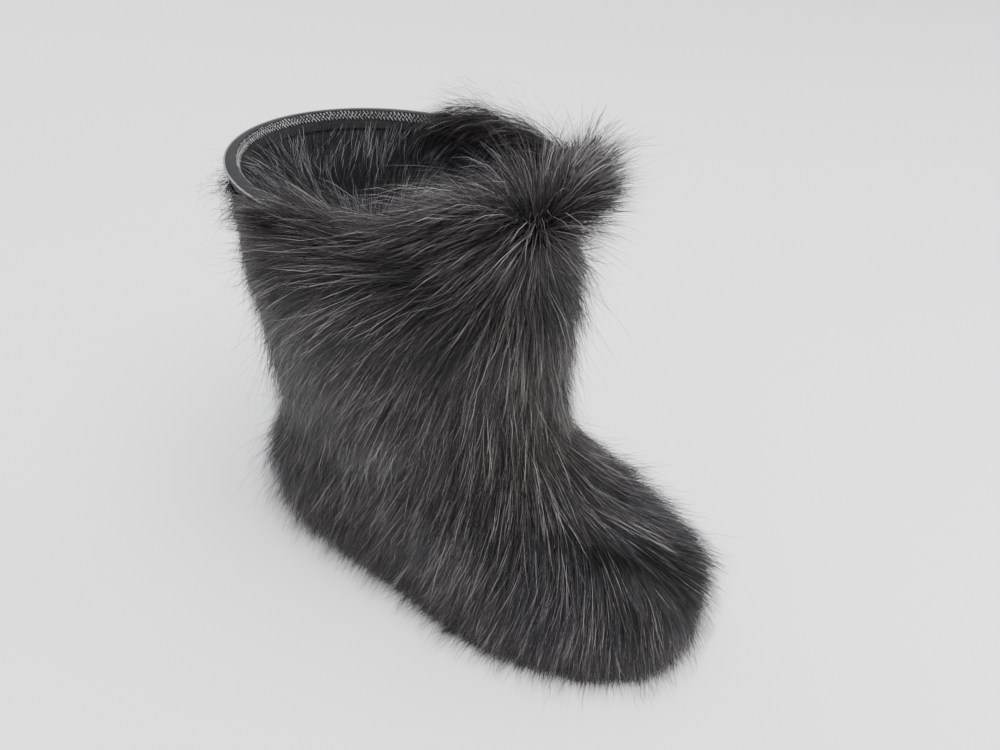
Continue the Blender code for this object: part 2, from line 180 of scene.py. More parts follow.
def swelling(share, inner_side):
    """How much wider the foot's plan is at a share of its length, on its inner or outer side."""
    wider = np.zeros_like(share)
    for row in PLAN_BUMPS:
        hill = np.exp(-(((share - row.place) / row.spread) ** 2))
        wider = wider + hill * np.where(inner_side, row.inner, row.outer)
    return wider


def centre_line(share):
    """How far the foot's middle lies towards its inner side."""
    return TOE_IN * (np.clip(share - TOE_IN_START, 0.0, None) / (1.0 - TOE_IN_START)) ** 2


def toe_rise(share):
    """How far the toe curls up from the floor, at a share of the foot's length."""
    return TOE_SPRING * np.clip((share - BALL_END) / (1.0 - BALL_END), 0.0, None) ** 2


def sole_top(reach):
    """Height of the sole's upper face above the floor."""
    share = reach / FOOT_LENGTH
    slope = ease((share - SOLE_SLOPE_START) / (SOLE_SLOPE_END - SOLE_SLOPE_START))
    return HEEL_HEIGHT - (HEEL_HEIGHT - FOREFOOT_HEIGHT) * slope + toe_rise(share)


def boot_rings():
    """The two tables as one array of real sizes, a row for each ring from the feather line to the collar."""
    rings = []
    for row in FOOT_ROWS:
        front, back = row.front_reach * FOOT_LENGTH, row.back_reach * FOOT_LENGTH
        front_z = SOLE_HEIGHT + row.front_height * INSTEP_HEIGHT
        back_z = SOLE_HEIGHT + row.back_height * INSTEP_HEIGHT
        ball_half, heel_half = row.ball_width * BALL_WIDTH / 2, row.heel_width * HEEL_WIDTH / 2
        rings.append((front, front_z, back, back_z, ball_half, heel_half, row.roundness, row.follow))
    ankle_height = SOLE_HEIGHT + INSTEP_HEIGHT
    for row in SHAFT_ROWS:
        height = ankle_height + row.height * (SHAFT_HEIGHT - ankle_height)
        length = ANKLE_LENGTH + row.length_flare * (COLLAR_LENGTH - ANKLE_LENGTH)
        half_width = (ANKLE_WIDTH + row.width_flare * (COLLAR_WIDTH - ANKLE_WIDTH)) / 2
        front = row.front_reach * FOOT_LENGTH
        tilt = row.height * COLLAR_TILT / 2
        rings.append((front, height + tilt, front - length, height - tilt, half_width, half_width, OVAL, 0.0))
    return np.array(rings)


BOOT_RINGS = boot_rings()


def ring_values(level):
    """Ring sizes at a level from 0, the feather line, to 1, the collar, on a smooth curve through the table.
    Above 1 they carry on straight."""
    last = len(BOOT_RINGS) - 1
    place = np.asarray(level, float) * last
    start = np.clip(np.floor(place).astype(int), 0, last - 1)
    step = np.clip(place - start, 0.0, 1.0)[..., None]
    before = BOOT_RINGS[np.maximum(start - 1, 0)]
    here = BOOT_RINGS[start]
    after = BOOT_RINGS[start + 1]
    beyond = BOOT_RINGS[np.minimum(start + 2, last)]
    bend = (2 * before - 5 * here + 4 * after - beyond) * step**2
    twist = (3 * here - before - 3 * after + beyond) * step**3
    values = here + 0.5 * ((after - before) * step + bend + twist)
    return values + 0.5 * (beyond - here) * np.clip(place - last, 0.0, None)[..., None]


def plan_points(values, angle, grow=0.0):
    """Ring points at angles from 0 at the toe, through the outer side, to half a turn at the heel."""
    front, front_z, back, back_z, ball_half, heel_half, roundness, follow = np.moveaxis(values, -1, 0)
    cosine, sine = np.cos(angle), np.sin(angle)
    power = 2.0 / roundness
    boxiness = ease((roundness - OVAL) / (FOOT_ROWS[0].roundness - OVAL))
    widest = back + (front - back) * (SHAFT_WIDEST + (FOOT_WIDEST - SHAFT_WIDEST) * boxiness)
    ahead = widest + (front + grow - widest) * np.abs(cosine) ** power
    behind = widest - (widest - back + grow) * np.abs(cosine) ** power
    reach = np.where(cosine > 0, ahead, behind)
    share = reach / FOOT_LENGTH
    widening = ease((share - WIDENING_START) / (WIDENING_END - WIDENING_START))
    half = heel_half + (ball_half - heel_half) * widening
    half = half * (1.0 + follow * swelling(share, sine < 0)) + grow
    across = centre_line(share) - np.sign(sine) * np.abs(sine) ** power * half
    height = back_z + (front_z - back_z) * (reach - back) / (front - back)
    height = height + follow * (sole_top(reach) - SOLE_HEIGHT)
    return np.stack([across, HEEL_CENTRE - reach, height], axis=-1)


def upper_points(level, angle):
    """Points of the hide's outer face."""
    level, angle = np.broadcast_arrays(level, angle)
    return plan_points(ring_values(level), angle)


def upper_normals(level, angle):
    """Outward normals of the hide's outer face."""
    upwards = upper_points(level + NEAR, angle) - upper_points(np.maximum(level - NEAR, 0.0), angle)
    around = upper_points(level, angle + NEAR) - upper_points(level, angle - NEAR)
    return unit(np.cross(upwards, around))


def wall_travel():
    """Mean distances up the hide's wall from the feather line, for even levels up to the collar."""
    levels = np.linspace(0.0, 1.0, SURVEY_RINGS)
    points = upper_points(levels[:, None], turn(SURVEY_COLUMNS)[None, :])
    steps = np.linalg.norm(np.diff(points, axis=0), axis=-1).mean(axis=1)
    return levels, np.concatenate([[0.0], np.cumsum(steps)])


def levels_at(distance):
    """Levels for mean distances up the wall. Past the collar they carry on straight."""
    levels, travel = wall_travel()
    pace = (levels[-1] - levels[-2]) / (travel[-1] - travel[-2])
    past = np.maximum(distance - travel[-1], 0.0)
    return np.interp(distance, travel, levels) + past * pace


def turn(count):
    """Angles once round a ring."""
    return np.arange(count) * 2.0 * np.pi / count


WALL_HEIGHT = wall_travel()[1][-1]


def collar_rise(angle):
    """How far the fur stands over the collar's edge. Round the back it stops short and leaves the tape bare."""
    fullness = ease((np.cos(angle - FRINGE_TURN) - FRINGE_END) / (FRINGE_FULL - FRINGE_END))
    return (COLLAR_FRINGE + COLLAR_BARE) * fullness - COLLAR_BARE


def pile_depth(distance, angle):
    """Depth of the fur over the hide, at a distance up the wall."""
    places = [row.place for row in PILE_ROWS]
    front = np.interp(distance / WALL_HEIGHT, places, [row.front for row in PILE_ROWS])
    back = np.interp(distance / WALL_HEIGHT, places, [row.back for row in PILE_ROWS])
    return TAPE_CLEAR + (PILE - TAPE_CLEAR) * (front + (back - front) * ease(-np.cos(angle)))


# Looks. The undercoat stands at this share of the fur's depth, and the hairs grow out of it.
UNDERCOAT_SHARE = 0.50
HAIR_ROWS = 150
HAIR_COLUMNS = 224
CROWN_ROWS = 5
SKIRT_ROWS = 8
SKIRT_HAIR = (0.005, 0.024)

# The coat up the wall: hair length, lean from straight down towards the heel at the sides, in degrees, and how
# late the lean sets in on either side of the front.
CoatRow = namedtuple("CoatRow", "place length lean late")
COAT_ROWS = (
    CoatRow(0.00, 0.032, 12.0, 3.0),
    CoatRow(0.12, 0.038, 16.0, 3.0),
    CoatRow(0.30, 0.038, 18.0, 2.6),
    CoatRow(0.50, 0.040, 16.0, 1.2),
    CoatRow(0.70, 0.043, 25.0, 1.4),
    CoatRow(0.84, 0.044, 40.0, 1.5),
    CoatRow(0.94, 0.044, 60.0, 0.9),
    CoatRow(1.00, 0.044, 68.0, 0.35),
)
# The crown of hair at the front corner of the collar, and the parting along the top of the toe.
WHORL_PLACE = 0.985
WHORL_ANGLE = 0.26
WHORL_REACH = 0.040
# The fringe stands up along the rim between these cosines of the angle from its middle, and is tallest in front.
FRINGE_MIDDLE = 0.03
FRINGE_NONE = -0.52
FRINGE_WHOLE = 0.10
BARE_WHOLE = -0.16
FRINGE_RISE = 1.50
FRINGE_OVERHANG = 0.60
FAR_SHORTER = 0.30
# The part of the fringe that tumbles in over the tape, by the cosine of the angle from its middle.
FAR_MIDDLE = 1.15
FAR_NONE = 0.60
FAR_WHOLE = 0.80
FAR_TUMBLE = 1.3
FAR_DROOP = 0.007
# The outside of the pile, which the tips of the usual hairs keep to.
SKIN_ROWS = 60
SKIN_COLUMNS = 96
FRINGE_HEIGHT = 0.040
USUAL_LENGTH = 0.85
USUAL_RISE = 0.80
TIP_SINK = 0.0015
SETTLE_LIMIT = 0.022
FRINGE_FREE = 0.85
WHORL_FREE = 0.75
WHORL_LIFT = 1.0
# The coat lies flatter under the standing fringe, by this share.
RIM_FLATTER = 0.55
# The parting runs over the foot through these places up the wall, at these angles. The hair turns away from it on
# the foot's outer and inner side by these degrees.
PARTING_PLACES = (0.05, 0.14, 0.24, 0.32, 0.42)
PARTING_ANGLES = (0.04, 0.12, 0.22, 0.44, 0.60)
PARTING_SPREAD = 0.36
PARTING_GROOVE = 0.105
PARTING_OUTER = 2.0
PARTING_INNER = 34.0
PARTING_DEPTH = 0.0065
# How much painted shade darkens the hair in the parting's groove.
PARTING_PAINTED_SHADE = 0.60
# The lighter, warmer band down the front of the shaft.
BAND_SPREAD = 0.3
BAND_TURN = 0.1
WARMTH_LIMITS = (0.06, 0.94)
UPWARD = np.array((0.0, 0.0, 1.0))
HEELWARD = np.array((0.0, 1.0, 0.0))

TONE_STEPS = 8
COAT_FIELDS = ("outward", "flow", "length", "rise", "warmth", "shade", "crowd", "place", "whorl", "settle")


class Wire:
    """A value in a node tree. Arithmetic on it adds the nodes that work the result out."""

    def __init__(self, tree, socket):
        self.tree = tree
        self.socket = socket

    def combine(self, operation, other):
        kind = "ShaderNodeVectorMath" if is_vector(self) or is_vector(other) else "ShaderNodeMath"
        return output(add_node(self.tree, kind, {0: self, 1: other}, operation=operation))

    def __add__(self, other):
        return self.combine("ADD", other)

    def __sub__(self, other):
        return self.combine("SUBTRACT", other)

    def __mul__(self, other):
        if is_vector(self) and not is_vector(other):
            feeds = {0: self, "Scale": other}
            return output(add_node(self.tree, "ShaderNodeVectorMath", feeds, operation="SCALE"))
        return self.combine("MULTIPLY", other)

    def dot(self, other):
        node = add_node(self.tree, "ShaderNodeVectorMath", {0: self, 1: other}, operation="DOT_PRODUCT")
        return output(node, "Value")

    def part(self, axis):
        return output(add_node(self.tree, "ShaderNodeSeparateXYZ", {0: self}), axis)


def is_vector(value):
    """Whether a wire or a plain value is a vector."""
    return isinstance(value, tuple) or (isinstance(value, Wire) and value.socket.type == "VECTOR")


def pick(sockets, key):
    """The socket with that number, or the enabled one with that name."""
    if isinstance(key, int):
        return sockets[key]
    return next(socket for socket in sockets if socket.name == key and socket.enabled)


def add_node(tree, kind, feeds=None, **settings):
    """A node with its settings, fed by wires or plain values."""
    node = tree.nodes.new(kind)
    for name, value in settings.items():
        setattr(node, name, value)
    for key, value in (feeds or {}).items():
        socket = pick(node.inputs, key)
        if isinstance(value, Wire):
            tree.links.new(value.socket, socket)
        else:
            socket.default_value = value
    return node


def output(node, key=0):
    """A node's output with that number or name, as a wire."""
    return Wire(node.id_data, pick(node.outputs, key))


def new_tree(name, kind, inputs, outputs):
    """A node tree with named sockets, its input wires by name, and its output node. Each socket is a name, a
    socket type and a plain value or None."""
    tree = bpy.data.node_groups.new(name, kind)
    for socket_name, socket_type, value in inputs:
        socket = tree.interface.new_socket(socket_name, in_out="INPUT", socket_type=socket_type)
        if value is not None:
            socket.default_value = value
    for socket_name, socket_type in outputs:
        tree.interface.new_socket(socket_name, in_out="OUTPUT", socket_type=socket_type)
    source = tree.nodes.new("NodeGroupInput")
    wires = {item[0]: output(source, item[0]) for item in inputs}
    return tree, wires, tree.nodes.new("NodeGroupOutput")


def run_tree(carrier, tree, values, name):
    """The mesh that a geometry tree makes of a carrier object, as a new plain object."""
    modifier = carrier.modifiers.new(tree.name, "NODES")
    modifier.node_group = tree
    for item in tree.interface.items_tree:
        if item.item_type == "SOCKET" and item.in_out == "INPUT" and item.name in values:
            modifier[item.identifier] = values[item.name]
    bpy.context.view_layer.update()
    evaluated = carrier.evaluated_get(bpy.context.evaluated_depsgraph_get())
    mesh = bpy.data.meshes.new_from_object(evaluated)
    mesh.name = name
    made = bpy.data.objects.new(name, mesh)
    bpy.context.scene.collection.objects.link(made)
    carrier.modifiers.remove(modifier)
    return made


def mesh_object(name, points, faces, material=None):
    """An object at the origin, with its place in its mesh and its faces turned outwards."""
    mesh = bpy.data.meshes.new(name)
    mesh.from_pydata([tuple(point) for point in points], [], faces)
    if material:
        work = bmesh.new()
        work.from_mesh(mesh)
        bmesh.ops.recalc_face_normals(work, faces=work.faces)
        work.to_mesh(mesh)
        work.free()
        mesh.materials.append(material)
        mesh.shade_smooth()
    made = bpy.data.objects.new(name, mesh)
    bpy.context.scene.collection.objects.link(made)
    return made


def give_attribute(piece, name, values):
    """Stores one number or vector for each point of a piece."""
    values = np.asarray(values, dtype=np.float32)
    kind, field = ("FLOAT_VECTOR", "vector") if values.ndim == 2 else ("FLOAT", "value")
    attribute = piece.data.attributes.new(name, kind, "POINT")
    attribute.data.foreach_set(field, values.ravel())


def grid_faces(rows, columns, wrap=False):
    """Faces of a skin through rings that each close on themselves. With wrap, the last ring meets the first."""
    faces = []
    for row in range(rows if wrap else rows - 1):
        low, high = row * columns, (row + 1) % rows * columns
        for column in range(columns):
            beside = (column + 1) % columns
            faces.append((low + column, low + beside, high + beside, high + column))
    return faces


def ring_uv(piece, rows, columns):
    """A UV map for a skin of rings: round the ring, and along the rings."""
    layer = piece.data.uv_layers.new(name="OFBake")
    vertex = np.zeros(len(piece.data.loops), dtype=np.int32)
    piece.data.loops.foreach_get("vertex_index", vertex)
    row, column = vertex // columns, vertex % columns
    wide = column.reshape(-1, 4)
    crossing = wide.max(axis=1) - wide.min(axis=1) > columns // 2
    wide = np.where(crossing[:, None] & (wide == 0), columns, wide)
    tall = row.reshape(-1, 4)
    closing = tall.max(axis=1) - tall.min(axis=1) > 1
    tall = np.where(closing[:, None] & (tall == 0), rows, tall)
    uv = np.stack([wide.ravel() / columns, tall.ravel() / rows], axis=1).astype(np.float32)
    layer.data.foreach_set("uv", uv.ravel())


def drift(points, size, seed):
    """Smooth noise between about -1 and 1 that changes over a given size."""
    noise = np.random.default_rng(seed)
    total = np.zeros(points.shape[:-1])
    for _ in range(7):
        wave = noise.normal(size=3)
        wave *= 2.0 * np.pi / (size * noise.uniform(0.7, 1.5) * np.linalg.norm(wave))
        total += np.sin(points @ wave + noise.uniform(0.0, 2.0 * np.pi))
    return total / 3.0


def from_front(angle):
    """The same angle, within half a turn either way."""
    return (angle + np.pi) % (2.0 * np.pi) - np.pi


def laid_level(outward):
    """Outward directions laid level."""
    return unit(outward * (1.0, 1.0, 0.0))


def ring_direction(level, angle):
    """Directions along a ring, towards larger angles."""
    return unit(upper_points(level, angle + NEAR) - upper_points(level, angle - NEAR))


def hem_ring(angle, depth):
    """The ring at the hem's height, that far outside the feather line."""
    ring = plan_points(ring_values(np.zeros(angle.shape)), angle, depth)
    ring[:, 2] = HEM_HEIGHT
    return ring


def wall_frame(distance, angle):
    """Points of the hide with their outward, downward and sideways directions."""
    level = levels_at(distance)
    outward = upper_normals(level, angle)
    around = ring_direction(level, angle)
    return upper_points(level, angle), outward, np.cross(outward, around), around


def coat(place, field):
    """A column of the coat's table at places up the wall."""
    return np.interp(place, [row.place for row in COAT_ROWS], [getattr(row, field) for row in COAT_ROWS])


def whorl_hold(place, angle):
    """Way round and up from the whorl's middle, the distance from it, and how far its fan holds the hair."""
    across = from_front(angle - WHORL_ANGLE) * COLLAR_WIDTH / 2
    above = (place - WHORL_PLACE) * WALL_HEIGHT
    reach = np.hypot(across, above) + 1e-6
    return across, above, reach, np.exp(-((reach / WHORL_REACH) ** 4))


def from_parting(place, angle):
    """Angle from the parting on the foot, towards its outer side."""
    return from_front(angle - np.interp(place, PARTING_PLACES, PARTING_ANGLES))


def parting_groove(place, angle):
    """How deep in the parting a place lies."""
    foot = ease((place - 0.08) / 0.06) * (1.0 - ease((place - 0.35) / 0.08))
    return foot * np.exp(-((from_parting(place, angle) / PARTING_GROOVE) ** 2))


def hair_flow(place, angle, down, around):
    """Direction in which the hair lies, as it sweeps back along the sides of the shaft, fans out from the
    corner of the collar and parts along the toe."""
    side = np.sin(angle)
    lean = coat(place, "lean") * np.sign(side) * np.abs(side) ** coat(place, "late")
    lean = lean * (1.0 - 0.85 * ease((place - 0.66) / 0.18) * bare_tape(angle))
    off_centre = from_parting(place, angle)
    foot = 1.0 - ease((place - 0.34) / 0.14)
    parting = foot * np.exp(-((off_centre / PARTING_SPREAD) ** 2)) * np.tanh(off_centre / PARTING_GROOVE)
    lean = lean + parting * np.where(off_centre > 0.0, PARTING_OUTER, PARTING_INNER)
    lean = np.radians(lean)[..., None]
    flow = down * np.cos(lean) + around * np.sin(lean)
    across, above, reach, hold = whorl_hold(place, angle)
    hold = hold[..., None]
    fan = around * (across / reach)[..., None] - down * (above / reach)[..., None]
    flow = flow * (1.0 - hold) + fan * hold
    stand = standing(place, angle)[..., None]
    front = ease((np.cos(angle) - 0.1) / 0.6)[..., None]
    near_side = ease(side * 1.4)[..., None]
    flow = flow + stand * FRINGE_RISE * UPWARD * (0.62 + 0.38 * front - 0.50 * near_side)
    flow = flow + stand * FRINGE_OVERHANG * HEELWARD * front
    tumble = stand * far_side(angle)[..., None] * ease((place - 0.96) / 0.04)[..., None]
    flow = flow - tumble * FAR_TUMBLE * np.cross(around, down)
    return unit(flow)


def thinned(place, angle):
    """How much of the pile's depth is left: it thins out where the fur meets the bare tape round the back."""
    back = ease((-np.cos(angle - 0.10) + 0.02) / 0.40)
    return 1.0 - 0.55 * back * ease((place - 0.86) / 0.13)


def far_side(angle):
    """The foot's inner side of the collar, whose fringe falls in over the tape."""
    return ease((np.cos(angle + FAR_MIDDLE) - FAR_NONE) / (FAR_WHOLE - FAR_NONE))


def fringe(angle):
    """How much of the fringe stands up along the rim: none at the heel, where the tape is bare."""
    return ease((np.cos(angle - FRINGE_MIDDLE) - FRINGE_NONE) / (FRINGE_WHOLE - FRINGE_NONE))


def standing(place, angle):
    """How much of the fringe stands up at a place near the rim."""
    return ease((place - 0.90) / 0.10) * fringe(angle)


def bare_tape(angle):
    """Round the heel side of the collar, where the hair hangs straight below the bare tape."""
    return 1.0 - ease((np.cos(angle - FRINGE_MIDDLE) - FRINGE_NONE) / (BARE_WHOLE - FRINGE_NONE))


def pile_skin():
    """The outside of the pile, and its way on up past the rim, as a tree for finding the nearest place on it."""
    angle = turn(SKIN_COLUMNS)
    rings = [hem_ring(angle, HEM_DEPTH)]
    for share in np.linspace(0.0, 1.0, SKIN_ROWS):
        point, outward, _, _ = wall_frame(share * WALL_HEIGHT + 0.0 * angle, angle)
        deep = pile_depth(share * WALL_HEIGHT, angle) * thinned(share, angle)
        rings.append(point + outward * deep[:, None])
    rings.append(rings[-1] + unit(rings[-1] - rings[-2]) * FRINGE_HEIGHT)
    points = np.concatenate(rings)
    return BVHTree.FromPolygons([tuple(point) for point in points], grid_faces(len(rings), SKIN_COLUMNS))


def settle(surface):
    """How far the tip of each place's usual hair has to move to lie on the outside of the pile."""
    skin = pile_skin()
    length = surface["length"][..., None] * USUAL_LENGTH
    tips = surface["point"] + surface["flow"] * length
    tips = (tips + surface["outward"] * surface["rise"][..., None] * USUAL_RISE).reshape(-1, 3)
    outward = surface["outward"].reshape(-1, 3)
    moves = np.zeros_like(tips)
    angle = turn(HAIR_COLUMNS)
    stand = standing(surface["place"], angle)
    hold = ((1.0 - FRINGE_FREE * stand) * (1.0 - WHORL_FREE * surface["whorl"]))[..., None]
    for number, tip in enumerate(tips):
        near, normal, _, _ = skin.find_nearest(Vector(tip))
        normal = np.array(normal)
        normal = normal if normal @ outward[number] > 0.0 else -normal
        above = (tip - np.array(near)) @ normal + TIP_SINK
        moves[number] = -normal * np.clip(above, -SETTLE_LIMIT, SETTLE_LIMIT)
    droop = stand * far_side(angle) * ease((surface["place"] - 0.96) / 0.04)
    droop = droop[..., None] * FAR_DROOP * (-UPWARD - surface["outward"])
    return moves.reshape(surface["point"].shape) * hold + droop


def coat_top(angle):
    """Distance up the wall where the coat ends: at the rim, or below it where the hide is bare."""
    return WALL_HEIGHT + np.minimum(collar_rise(angle), 0.0)


def coat_surface():
    """The surface that the hair grows from, row by row from the skirt over the sole's side, up the wall and
    over the crown, with everything that its hairs need to know."""
    angle = turn(HAIR_COLUMNS)
    top = coat_top(angle)
    rows = {name: [] for name in ("point", *COAT_FIELDS) if name != "settle"}

    def add_row(point, outward, flow, place, rise, crowd):
        rows["point"].append(point)
        rows["outward"].append(outward)
        rows["flow"].append(flow)
        bare = ease((place - 0.74) / 0.20) * (1.0 - fringe(angle))
        far = ease((place - 0.86) / 0.12) * ease(-np.sin(angle) * 1.5)
        rows["length"].append(coat(place, "length") * (1.0 - 0.60 * bare) * (1.0 - FAR_SHORTER * far))
        whorl = whorl_hold(place + 0.0 * angle, angle)[3]
        rows["whorl"].append(whorl)
        rows["rise"].append(rise * (1.0 + WHORL_LIFT * whorl))
        rows["warmth"].append(coat_warmth(point, place, angle))
        rows["shade"].append(coat_shade(point, place, angle))
        rows["crowd"].append(np.full(HAIR_COLUMNS, crowd))
        rows["place"].append(place + 0.0 * angle)

    foot_point, outward, down, around = wall_frame(np.zeros(HAIR_COLUMNS), angle)
    level_out = laid_level(outward)
    seat = foot_point + outward * (pile_depth(0.0 * angle, angle) * UNDERCOAT_SHARE)[:, None]
    hem = hem_ring(angle, HEM_DEPTH * UNDERCOAT_SHARE)
    for step in range(SKIRT_ROWS):
        share = step / SKIRT_ROWS
        point = hem + (seat - hem) * share
        flow = hair_flow(0.0 * angle, angle, np.broadcast_to(-UPWARD, point.shape), around)
        flow = flow + level_out * 0.30
        flow = unit(flow)
        add_row(point, level_out, flow, 0.0 * angle, 0.001 + 0.004 * share + 0.0 * angle, 0.8)
        rows["length"][-1] = (SKIRT_HAIR[0] + (SKIRT_HAIR[1] - SKIRT_HAIR[0]) * share) + 0.0 * angle
    for step in range(HAIR_ROWS):
        place = step / (HAIR_ROWS - 1)
        distance = place * top
        point, outward, down, around = wall_frame(distance, angle)
        deep = pile_depth(distance, angle) * thinned(place, angle)
        point = point + outward * (deep * UNDERCOAT_SHARE)[:, None]
        point = point + outward * (0.0011 * drift(point, 0.022, 11))[:, None]
        share = distance / WALL_HEIGHT
        flow = hair_flow(share, angle, down, around)
        groove = parting_groove(share, angle)
        point = point - outward * (PARTING_DEPTH * groove)[:, None]
        rise = deep * (1.0 - UNDERCOAT_SHARE) * (1.0 + 0.16 * drift(point, 0.045, 12)) * (1.0 - 0.8 * groove)
        rise = rise * (1.0 - RIM_FLATTER * standing(share, angle))
        add_row(point, outward, flow, share, rise, 1.0)
    point, outward, down, around = wall_frame(top, angle)
    for step in range(1, CROWN_ROWS + 1):
        share = step / CROWN_ROWS
        deep = pile_depth(top, angle) * thinned(1.0, angle)
        depth = TAPE_CLEAR + (deep * UNDERCOAT_SHARE - TAPE_CLEAR) * (1.0 - share)
        flow = hair_flow(top / WALL_HEIGHT + 0.03 * share, angle, down, around)
        bare = bare_tape(angle)
        flow = flow + outward * (0.9 * bare)[:, None]
        flow = unit(flow)
        rising = outward + np.array((0.0, 0.0, 0.9)) * bare[:, None]
        rising = unit(rising)
        rise = 0.003 + 0.009 * bare
        add_row(point + outward * depth[:, None], rising, flow, top / WALL_HEIGHT, rise, 1.3 + 7.0 * bare)
    surface = {name: np.array(values) for name, values in rows.items()}
    surface["settle"] = settle(surface)
    return surface


def coat_warmth(point, place, angle):
    """How brown rather than blue-black the coat is: brown on the shaft, cool on the foot, reddish at the hem."""
    place = np.broadcast_to(place, angle.shape)
    foot = (1.0 - ease((place - 0.25) / 0.2)) * ease(0.5 + 0.9 * np.cos(angle))
    hem = 1.0 - ease((place - 0.04) / 0.12)
    band = np.exp(-((from_front(angle) / BAND_SPREAD) ** 2)) * ease((place - 0.42) / 0.1)
    band = band * (1.0 - ease((place - 0.86) / 0.05))
    warmth = 0.62 - 0.45 * foot + 0.35 * hem + 0.35 * band + 0.20 * drift(point, 0.05, 13)
    return np.clip(warmth, *WARMTH_LIMITS)


def coat_shade(point, place, angle):
    """How light the coat is: random tone, a lighter band down the front and lighter hair where the crown fans
    upward, with painted shade under the collar's roll, in the parting, in the crown's middle and round the heel
    side.
    """
    place = np.broadcast_to(place, angle.shape)
    band = np.exp(-(((from_front(angle) - BAND_TURN) / BAND_SPREAD) ** 2)) * ease((place - 0.42) / 0.1)
    band = band * (1.0 - ease((place - 0.84) / 0.05))
    # Painted shadow under the collar's roll, round the front of the shaft.
    roll_painted_shadow = np.exp(-(((place - 0.86) / 0.03) ** 2)) * ease(0.2 + np.cos(angle))
    # The parting's groove gets painted shade.
    groove = parting_groove(place, angle)
    _, above, reach, hold = whorl_hold(place, angle)
    # Painted shade in the crown's middle, where the hair parts.
    crown_middle_painted_shade = np.exp(-((reach / 0.010) ** 2))
    fan = hold * ease(above / 0.012)
    # Painted shade round the heel side, which faces away from the light.
    heel_painted_shade = ease((np.abs(from_front(angle)) - 1.15) / 0.5)
    shade = 0.25 - 0.06 * heel_painted_shade + 0.04 * band - 0.14 * roll_painted_shadow + 0.08 * drift(point, 0.03, 14)
    return shade - PARTING_PAINTED_SHADE * groove - 0.16 * crown_middle_painted_shade + 0.18 * fan


def strand_pattern(steps):
    """One hair as a narrow ladder that ends in a point, with its share along the hair and its side as
    attributes."""
    along = [step for step in steps for _ in (0, 1)] + [1.0]
    side = [edge * (1.0 - 0.3 * step) for step in steps for edge in (-1.0, 1.0)] + [0.0]
    faces = []
    for step in range(0, len(along) - 3, 2):
        faces += [(step, step + 1, step + 2), (step + 1, step + 3, step + 2)]
    faces.append((len(along) - 3, len(along) - 2, len(along) - 1))
    points = [(0.001 * edge, 0.001 * step, 0.0) for step, edge in zip(along, side)]
    pattern = mesh_object("strand_pattern", points, faces)
    give_attribute(pattern, "along", along)
    give_attribute(pattern, "side", side)
    return pattern


